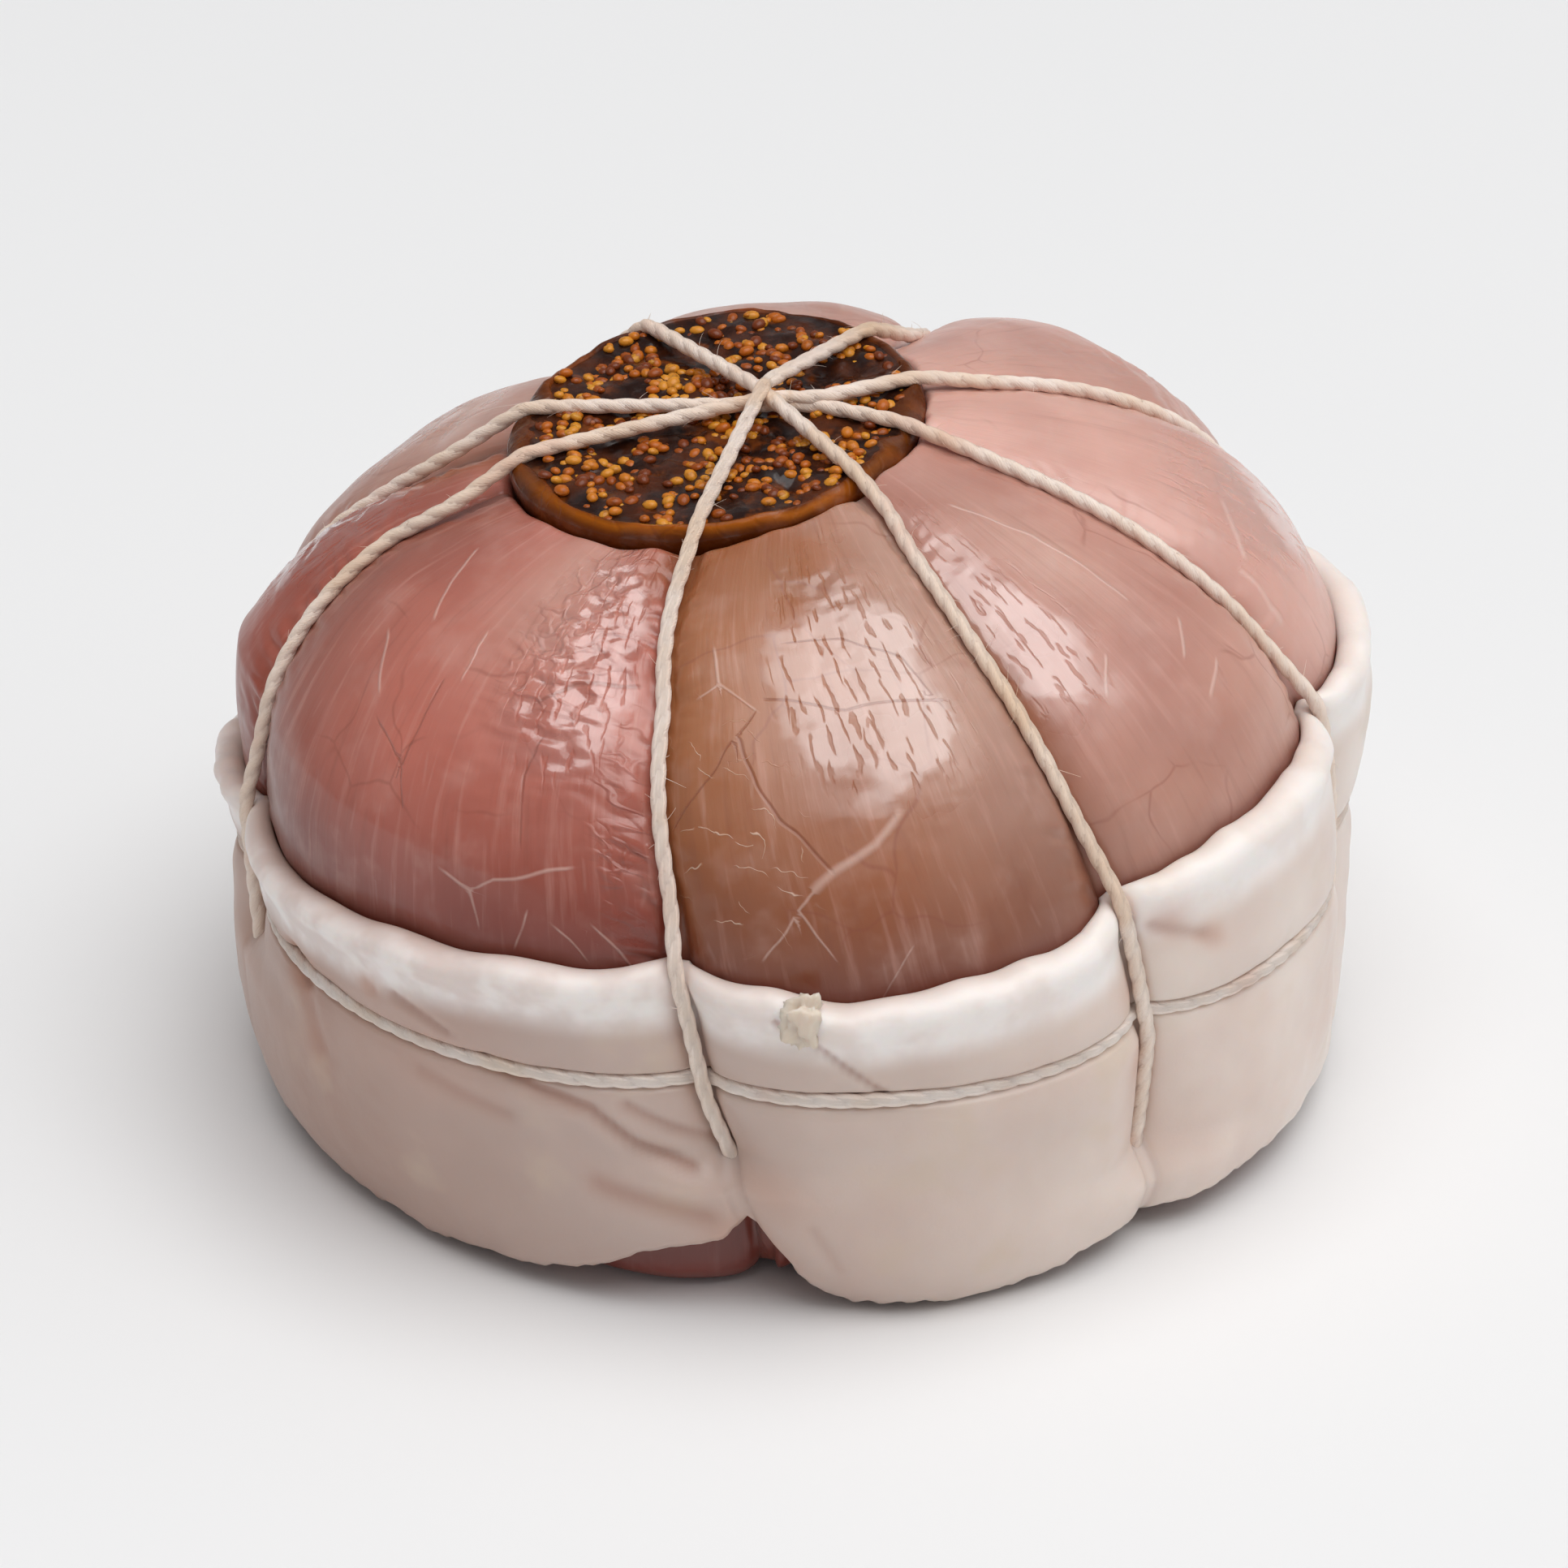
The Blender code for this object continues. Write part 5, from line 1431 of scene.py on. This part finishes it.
def make_seed_finish():
    """Seeds: smooth, translucent gold."""
    material, tree, shader = add_finish(
        "seeds", Roughness=0.3, Subsurface_Weight=0.25, Subsurface_Radius=(1.0, 0.5, 0.1),
        Subsurface_Scale=0.0006, Coat_Weight=0.2, Coat_Roughness=0.12, Specular_IOR_Level=0.25)
    place = object_place(tree)
    smear = blotches(tree, place, 1500.0, 0.5, 0.7)
    colour = tinted(tree, carried(tree, "tone"), smear, 0.5, 96, 44, 14)
    tree.links.new(colour, shader.inputs["Base Color"])
    set_relief(tree, shader, weave(tree, place, 2500.0, 1.0), 0.3, 0.0001)
    return material


def make_seeds():
    """All seeds as one heap, spread over the pulp and left out of its hollows."""
    source = random.Random(11)
    shape = seed_shape()
    corners = [vertex.co.copy() for vertex in shape.vertices]
    heap = bmesh.new()
    points, tones = [], []
    golden = math.pi * (3 - math.sqrt(5))
    for number in range(SEEDS):
        turn = number * golden
        far = rim_inside(turn) - SEED_EDGE * SEED_LONG
        reach = far * math.sqrt((number + 0.5) / SEEDS) + source.gauss(0, SEED_STRAY)
        reach = min(max(reach, 0.0), far)
        turn += source.gauss(0, SEED_SWING)
        x, y = round_fig(turn, reach)
        cluster = signed_noise((x, y, 0.0), CLUSTER_SIZE, 12.0)
        if hollow_depth(x, y) > BARE_DEPTH or cluster < CLUSTER_LEAST:
            continue
        heap.from_mesh(shape)
        tip = Matrix.Rotation(math.radians(source.uniform(-SEED_TIP, SEED_TIP)), 3, "Y")
        turned = Matrix.Rotation(source.uniform(0, 2 * math.pi), 3, "Z") @ tip
        size = SEED_LONG * source.uniform(*SEED_SIZES)
        middle = Vector((x, y, pulp_height(x, y) + source.uniform(*SEED_LEVELS) * MM))
        points += [middle + turned @ corner * size for corner in corners]
        deep = min(max(0.5 - cluster + source.uniform(-0.5, 0.5), 0.0), DEEPEST)
        tones += [shade(*SEED_TONES[int(deep * len(SEED_TONES))])] * len(corners)
    bpy.data.meshes.remove(shape)
    add_piece("fig_seeds", heap, points, make_seed_finish(), (),
              {"tone": np.array(tones)})


make_seeds()

# The belt is two-ply cotton kitchen string tied once round the fat. It draws the fat in, lies in a
# groove of its own, and is soaked with fat all the way.
STRING = 1.2 * MM           # thickness
BELT_SINK = 0.34 * MM       # how far its centre lies inside the fat's face
WAY_STEP = 0.5 * MM         # spacing of the points along a string's way
SMOOTHING = 4               # passes that round its bends
PLY_RADIUS, PLY_OFFSET = 0.50 * MM, 0.09 * MM
PITCH = 3.9 * MM            # length of one full twist
TWIST_STEPS, PLY_SIDES = 12, 8
# String's own colour where it is clean, on the fat, in the belt and where the fig stains it
CLEAN, ON_FAT, IN_BELT, BY_FIG = (252, 234, 222), (250, 232, 218), (250, 236, 226), (228, 190, 152)
SOAK_REACH = 2.0 * MM       # how far down from the fat's rim it turns to the colour it has there
FIG_STAIN, FIG_STAIN_REACH = 0.75, 5.0 * MM
FIG_EVEN, FIG_PATCHES, FIG_PATCH_SIZE = 0.6, 0.8, 4.0 * MM  # that stain's even share and patches
LEG_STAINS = {1: 0.5, 7: 0.45, 2: 0.2}  # how stained some legs are with the meat's juice
JUICE_LEAST, JUICE_EVEN, JUICE_PATCH_SIZE = 0.1, 0.8, 6.0 * MM  # and the others, and how evenly


def belt_point(place):
    """The centre of the string tied round the fat."""
    out = FAT_TOUCH + fat_thickness(place) - BELT_DRAW - BELT_SINK
    return roll_points(place, rise_at(place, belt_height(place)), out)


def even_line(points, spacing, closed=False):
    """The same way with its points evenly apart."""
    points = np.array(points)
    if closed:
        points = np.concatenate([points, points[:1]])
    steps = np.linalg.norm(np.diff(points, axis=0), axis=1)
    run = np.concatenate([[0.0], np.cumsum(steps)])
    count = max(int(round(run[-1] / spacing)), 3)
    marks = np.linspace(0.0, run[-1], count + 1)
    line = np.stack([np.interp(marks, run, spots) for spots in points.T], axis=1)
    return line[:-1] if closed else line


def smooth_ring(points):
    """A closed way with its corners rounded."""
    line = even_line(points, WAY_STEP, closed=True)
    for _ in range(SMOOTHING):
        line = 0.5 * line + 0.25 * (np.roll(line, 1, axis=0) + np.roll(line, -1, axis=0))
    return line


def twisted(line):
    """Both plies of a string along a closed line, each as rings of points, with the way along
    the string and round each ply for its finish."""
    length = np.linalg.norm(np.diff(np.concatenate([line, line[:1]]), axis=0), axis=1).sum()
    turns = round(length / PITCH)
    count = turns * TWIST_STEPS
    line = even_line(line, length / count, closed=True)
    run = np.roll(line, -1, axis=0) - np.roll(line, 1, axis=0)
    run /= np.linalg.norm(run, axis=1)[:, None]
    away = line - np.array([0.0, 0.0, WAIST])
    up = away - run * (away * run).sum(axis=1)[:, None]
    up /= np.linalg.norm(up, axis=1)[:, None]
    side = np.cross(run, up)
    marks = 2 * math.pi * turns * np.arange(count) / count
    plies = []
    for start in (0.0, math.pi):
        angle = (marks + start)[:, None]
        middle = line + PLY_OFFSET * (np.cos(angle) * up + np.sin(angle) * side)
        corners = 2 * math.pi * np.arange(PLY_SIDES) / PLY_SIDES
        around = (np.cos(corners)[None, :, None] * up[:, None, :]
                  + np.sin(corners)[None, :, None] * side[:, None, :])
        grain = np.stack(np.broadcast_arrays((np.arange(count) * length / count)[:, None] / MM,
                                             corners[None, :] - angle, start + 0.0 * angle), axis=2)
        plies.append((middle[:, None, :] + PLY_RADIUS * around, grain))
    return plies


def string_tone(point, is_belt):
    """The string's colour at a place: soaked where it lies on fat, stained near the fig."""
    if is_belt:
        return shade(*IN_BELT)
    reach, _ = from_nest(np.array(point))
    turn = math.degrees(math.atan2(point[1], point[0]))
    place = place_at_turn(turn)
    on_fat = float(ease((fat_rim(place) - point[2]) / SOAK_REACH))
    by_fig = FIG_STAIN * math.exp(-((reach - FIG_RADIUS) / FIG_STAIN_REACH) ** 2)
    by_fig *= FIG_EVEN + FIG_PATCHES * signed_noise(point, FIG_PATCH_SIZE, 6.1)
    soaked = JUICE_EVEN + signed_noise(point, JUICE_PATCH_SIZE, 2.9)
    soaked *= LEG_STAINS.get(round(place) % LEGS, JUICE_LEAST)
    tone = np.array(shade(*CLEAN))
    tone = tone + (np.array(shade(*BY_FIG)) - tone) * min(max(by_fig, soaked, 0.0), 1.0)
    return tone + (np.array(shade(*ON_FAT)) - tone) * on_fat


def make_string_finish():
    """Cotton: cream, matt, with twisted fibres, stained by the meat's juice and the fig."""
    material, tree, shader = add_finish(
        "string", Roughness=0.7, Subsurface_Weight=0.12, Subsurface_Radius=(1.0, 0.7, 0.5),
        Subsurface_Scale=0.0004, Sheen_Weight=0.15, Sheen_Roughness=0.5)
    place, tone = object_place(tree), carried(tree, "tone")
    mottle = blotches(tree, place, 260.0, 0.35, 0.65)
    colour = mottled(tree, tone, mottle, (0.93, 0.9, 0.87), (1.0, 1.0, 1.0))
    yellow = blotches(tree, place, 150.0, 0.54, 0.7)
    colour = tinted(tree, colour, yellow, 0.22, 232, 194, 148)
    pink = blotches(tree, place, 105.0, 0.56, 0.7)
    colour = tinted(tree, colour, pink, 0.35, 222, 172, 152)
    slanted = stretched(tree, carried(tree, "grain", "Vector"), (1.1, 2.4, 1.0), 0.35)
    fibre = weave(tree, slanted, 2.0, 3.0)
    colour = blend(tree, spread(tree, fibre, 0.5, 0.3, 0.0, 0.3), colour,
                   blend(tree, 1.0, tone, (0.8, 0.7, 0.6), "MULTIPLY"))
    tree.links.new(colour, shader.inputs["Base Color"])
    set_relief(tree, shader, fibre, 0.7, 0.00012)
    return material


STRING_FINISH = make_string_finish()


def make_string(name, lines, node):
    """A piece of string of one or more closed rounds."""
    whole = bmesh.new()
    points, grains, tones = [], [], []
    for line in lines:
        for table, grain in twisted(line):
            ring, column, corner = add_ring(len(table), PLY_SIDES)
            spare = as_mesh(name, ring)
            whole.from_mesh(spare)
            bpy.data.meshes.remove(spare)
            points.append(table[column, corner])
            grains.append(grain[column, corner])
            along_it = [string_tone(spots.mean(axis=0), name == "belt_string") for spots in table]
            tones.append(np.array(along_it)[column])
    add_piece(name, whole, np.concatenate(points), STRING_FINISH, (node,),
              {"tone": np.concatenate(tones)}, {"grain": np.concatenate(grains)})


belt_line = smooth_ring([belt_point(column_place(column)) for column in range(0, LEGS * SIDES, 2)])
make_string("belt_string", [belt_line], "girth_string")

# Four rounds of the same string tie the roll. They cross over the fig and again under the roll,
# lie in the valleys between the lobes and pass over the fat and its belt, pulled taut.
PRESSED_IN = 0.2 * MM       # how far it sinks into what it lies on
STRING_LIFT = STRING / 2 - PRESSED_IN
BELT_STEP = 0.4             # how far it stands out over the belt's centre, against its thickness
RIM_INWARD, RIM_BELOW = 0.9 * MM, 0.3 * MM  # where it lies on the top of the fig's rim
LEG_LEVELS = (3, 2, 0, 1)   # how many rounds lie under each where they cross
LAY = 0.55 * MM             # rise from one round to the next there
CROSSING = (-2.2 * MM, 0.0)
SPLIT = (1.9 * MM, 0.0)     # where the legs to the right part from each other
SPLIT_LEGS = (2, 3)
CROSSING_REACH = 12 * MM    # how far from the lower crossing they come together in height
SAMPLES = 90                # points of the roll that a leg may rest on, twice as many in all
BEND_SPAN = 2               # points ahead and behind that give the way's direction


def leg_level(leg):
    """How many strings lie under this one where they cross on the fig."""
    return LEG_LEVELS[leg % (LEGS // 2)]


def crossing_at(height):
    """The line on which the strings cross, from under the roll to the top of the fig."""
    return np.array(CROSSING) * ease((height - WAIST) / (TOP - WAIST))


def leg_way(leg, height):
    """The plan direction from the crossing line to the leg's valley at a height."""
    lip = roll_points(leg, lip_rise(leg))
    valley = lip if height > lip[2] else roll_points(leg, rise_at(leg, height))
    way = valley[:2] - crossing_at(min(height, lip[2]))
    return way / np.linalg.norm(way)


def resting_rows(leg):
    """What a leg's string lies on, as reach from the crossing line and height, from the
    crossing on the fig to the crossing underneath."""
    top = lip_rise(leg)
    lip = roll_points(leg, top)
    rises = np.concatenate([np.linspace(FOOT_RISE, top, SAMPLES),
                            rise_at(leg, np.linspace(0.0, lip[2], SAMPLES))])
    bare = roll_points(leg, rises)
    fat = roll_points(leg, rises, FAT_TOUCH + fat_thickness(leg))
    on_fat = (bare[:, 2] > fat_hem(leg)) & (bare[:, 2] < fat_rim(leg))
    points = list(np.where(on_fat[:, None], fat, bare))
    belt = belt_point(leg)
    outward = np.array([belt[0], belt[1], 0.0]) / math.hypot(belt[0], belt[1])
    points.append(belt + outward * STRING * BELT_STEP)
    turn = math.atan2(lip[1] - NEST[1], lip[0] - NEST[0])
    edge = nest_points(turn, SKIN_DIP)
    inward = RIM_INWARD * np.array([math.cos(turn), math.sin(turn)])
    crest_x, crest_y = edge[:2] - inward
    points += [edge, np.array([crest_x, crest_y, face_height(crest_x, crest_y) - RIM_BELOW])]
    rows = [(math.dist(point[:2], crossing_at(point[2])), point[2]) for point in points]
    rows.sort(key=lambda row: (-row[1], -row[0]))
    start = float(face_height(*CROSSING)) + leg_level(leg) * LAY
    return [(0.0, start)] + rows + [(0.0, STRING_WAY)]


def taut(rows):
    """The rows that a tight string touches: the outer side of their convex outline."""
    touched = []
    for reach, height in rows:
        while len(touched) > 1:
            (first, high), (last, low) = touched[-2], touched[-1]
            if (last - first) * (height - low) - (low - high) * (reach - last) < 0:
                break
            touched.pop()
        touched.append((reach, height))
    return touched


def leg_route(leg):
    """The centre line of one leg, from the crossing on the fig to the one underneath."""
    line = even_line(taut(resting_rows(leg)), WAY_STEP)
    ahead = np.roll(line, -BEND_SPAN, axis=0)
    ahead[-BEND_SPAN:] = line[-1]
    behind = np.roll(line, BEND_SPAN, axis=0)
    behind[:BEND_SPAN] = line[0]
    run = (ahead - behind) / np.linalg.norm(ahead - behind, axis=1)[:, None]
    profile = line + np.stack([-run[:, 1], run[:, 0]], axis=1) * STRING_LIFT
    lip = roll_points(leg, lip_rise(leg))
    reach_lip = math.dist(lip[:2], CROSSING)
    crossing, split = np.array(CROSSING), np.array(SPLIT)
    first = math.dist(SPLIT, CROSSING)
    route = []
    for reach, height in profile:
        reach = max(reach, 0.0)
        flat = crossing_at(min(height, lip[2])) + leg_way(leg, height) * reach
        if leg in SPLIT_LEGS and height > lip[2] and reach < reach_lip:
            if reach < first:
                flat = crossing + (split - crossing) * reach / first
            else:
                flat = split + (lip[:2] - split) * (reach - first) / (reach_lip - first)
        if height < STRING_WAY:
            height += leg_level(leg) * LAY * (1 - float(ease(reach / CROSSING_REACH)))
        route.append((flat[0], flat[1], height))
    return route


crossed_lines = []
for leg in range(LEGS // 2):
    there, back = leg_route(leg), leg_route(leg + LEGS // 2)
    crossed_lines.append(smooth_ring(there + back[-2:0:-1]))
make_string("tying_string", crossed_lines, "crossed_string")

# Loose cotton fibres stand off the tying string above the fat: short slim hairs that bend as they
# rise, stained as the string is where they root.
HAIRS = 420
HAIR_LONG, HAIR_THICK = 1.3 * MM, 0.022 * MM
HAIR_LENGTHS = (0.4, 1.3)   # least and greatest, against HAIR_LONG
HAIR_TIP, HAIR_CUTS = 0.35, 4  # a hair's tip against its root, and the rings it bends at
HAIR_ROOT = 0.42            # how far from the string's centre it roots, against the thickness
HAIR_SPREAD = 1.7           # angle in radians round the string from its top to either side
HAIR_OUT = (0.3, 0.9)       # least and greatest steepness
HAIR_SPAN = 3               # points along the string that give its direction
CURL, CURL_SIDE, CURL_ALONG, CURL_DROOP = 0.7, 0.8, 0.6, 0.3


def hair_shape():
    """One loose fibre as a mesh, a slim cone of unit length and radius with rings to bend at."""
    shape = bmesh.new()
    bmesh.ops.create_cone(shape, cap_ends=True, segments=3, radius1=1.0, radius2=HAIR_TIP,
                          depth=1.0)
    bmesh.ops.translate(shape, vec=(0, 0, 0.5), verts=shape.verts)
    long_edges = [edge for edge in shape.edges if edge.verts[0].co.z != edge.verts[1].co.z]
    bmesh.ops.subdivide_edges(shape, edges=long_edges, cuts=HAIR_CUTS)
    return as_mesh("hair", shape)


def make_fuzz(lines):
    """The loose fibres that stand off the string, as one piece."""
    source = random.Random(23)
    shape = hair_shape()
    corners = np.array([vertex.co for vertex in shape.vertices])
    heap = bmesh.new()
    points, tones = [], []
    for _ in range(HAIRS):
        line = lines[source.randrange(len(lines))]
        index = source.randrange(len(line) - HAIR_SPAN - 1)
        root = line[index]
        if root[2] < WAIST:
            continue
        run = line[index + HAIR_SPAN] - root
        run /= np.linalg.norm(run)
        up = root - np.array([0.0, 0.0, WAIST])
        up = up - run * (up @ run)
        up /= np.linalg.norm(up)
        side = np.cross(run, up)
        angle = source.uniform(-HAIR_SPREAD, HAIR_SPREAD)
        out = math.cos(angle) * up + math.sin(angle) * side
        way = out * source.uniform(*HAIR_OUT) + run * source.uniform(-1.0, 1.0)
        curl = side * source.uniform(-CURL_SIDE, CURL_SIDE)
        curl = curl + run * source.uniform(-CURL_ALONG, CURL_ALONG) - CURL_DROOP * up
        length = HAIR_LONG * source.uniform(*HAIR_LENGTHS)
        across, over = np.cross(way, run), np.cross(way, np.cross(way, run))
        across, over = across / np.linalg.norm(across), over / np.linalg.norm(over)
        share = corners[:, 2:]
        bent = share * way + share ** 2 * curl * CURL
        spots = root + out * STRING * HAIR_ROOT + length * bent
        spots = spots + HAIR_THICK * (corners[:, :1] * across + corners[:, 1:2] * over)
        heap.from_mesh(shape)
        points.append(spots)
        tones += [string_tone(root, False)] * len(corners)
    bpy.data.meshes.remove(shape)
    points = np.concatenate(points)
    add_piece("string_fuzz", heap, points, STRING_FINISH, (),
              {"tone": np.array(tones)}, {"grain": points / MM})


make_fuzz(crossed_lines)

# The studio: a plain pale floor, a soft sky all round, a wide light overhead, one large soft light
# above the front and another at the right, as in the photograph.
FLOOR_HALF = 3.0            # metres
CAMERA_RISE, CAMERA_DISTANCE = 28.0, 0.450  # degrees and metres
CAMERA_AIM = Vector((AXIS[0], AXIS[1], 25.0 * MM))
CAMERA_NEAREST = 0.01       # metres from it, nearer than which nothing shows
PHOTO_SIDE = 1932           # the photograph is square
AIM_PIXEL = (977, 915)      # where in it the aim shows
PIXELS_PER_METRE = 16570    # in it at the aim's distance
SENSOR = 36.0               # millimetres
# Each light's turn, rise, distance, size and power
LIGHTS = {"overhead_light": (-40.0, 78.0, 2.60, 2.60, 30.0),
          "front_light": (-68.0, 76.0, 1.80, 1.85, 12.0),
          "side_light": (-3.0, 54.0, 2.00, 2.30, 9.0)}
SKY = (0.98, 0.98, 1.0)
SKY_STRENGTH = 0.31
FLOOR_TONE = (0.86, 0.86, 0.86)


def make_floor():
    """The pale surface that the roll stands on."""
    plane = bmesh.new()
    bmesh.ops.create_grid(plane, x_segments=1, y_segments=1, size=FLOOR_HALF)
    mesh = as_mesh("floor", plane)
    material, _, _ = add_finish("floor", Roughness=0.6, Base_Color=(*FLOOR_TONE, 1.0))
    mesh.materials.append(material)
    floor = placed("floor", mesh)


def looking(place, aim):
    """The rotation of a camera or a light at a place that faces the aim."""
    return (aim - place).to_track_quat("-Z", "Y").to_euler()


def make_light(name, turn, rise, distance, size, power):
    """A large soft light that faces the roll."""
    light = bpy.data.lights.new(name, "AREA")
    light.shape = "SQUARE"
    light.size = size
    light.energy = power
    stand = placed(name, light)
    turn, rise = math.radians(turn), math.radians(rise)
    stand.location = distance * Vector((math.cos(turn) * math.cos(rise),
                                        math.sin(turn) * math.cos(rise), math.sin(rise)))
    stand.rotation_euler = looking(stand.location, CAMERA_AIM)


def make_camera():
    """The photograph's view."""
    lens = bpy.data.cameras.new("camera")
    lens.sensor_width = SENSOR
    lens.lens = PIXELS_PER_METRE * CAMERA_DISTANCE / PHOTO_SIDE * SENSOR
    lens.shift_x = (PHOTO_SIDE / 2 - AIM_PIXEL[0]) / PHOTO_SIDE
    lens.shift_y = (AIM_PIXEL[1] - PHOTO_SIDE / 2) / PHOTO_SIDE
    lens.clip_start = CAMERA_NEAREST
    camera = placed("camera", lens)
    rise = math.radians(CAMERA_RISE)
    camera.location = CAMERA_AIM + CAMERA_DISTANCE * Vector((0, -math.cos(rise), math.sin(rise)))
    camera.rotation_euler = looking(camera.location, CAMERA_AIM)
    bpy.context.scene.camera = camera


def make_sky():
    """Even pale light from all sides."""
    world = bpy.data.worlds.new("sky")
    world.use_nodes = True
    sky = world.node_tree.nodes["Background"]
    sky.inputs["Color"].default_value = (*SKY, 1.0)
    sky.inputs["Strength"].default_value = SKY_STRENGTH
    bpy.context.scene.world = world


make_floor()
for name, light in LIGHTS.items():
    make_light(name, *light)
make_camera()
make_sky()
bpy.context.scene.view_settings.view_transform = "Standard"
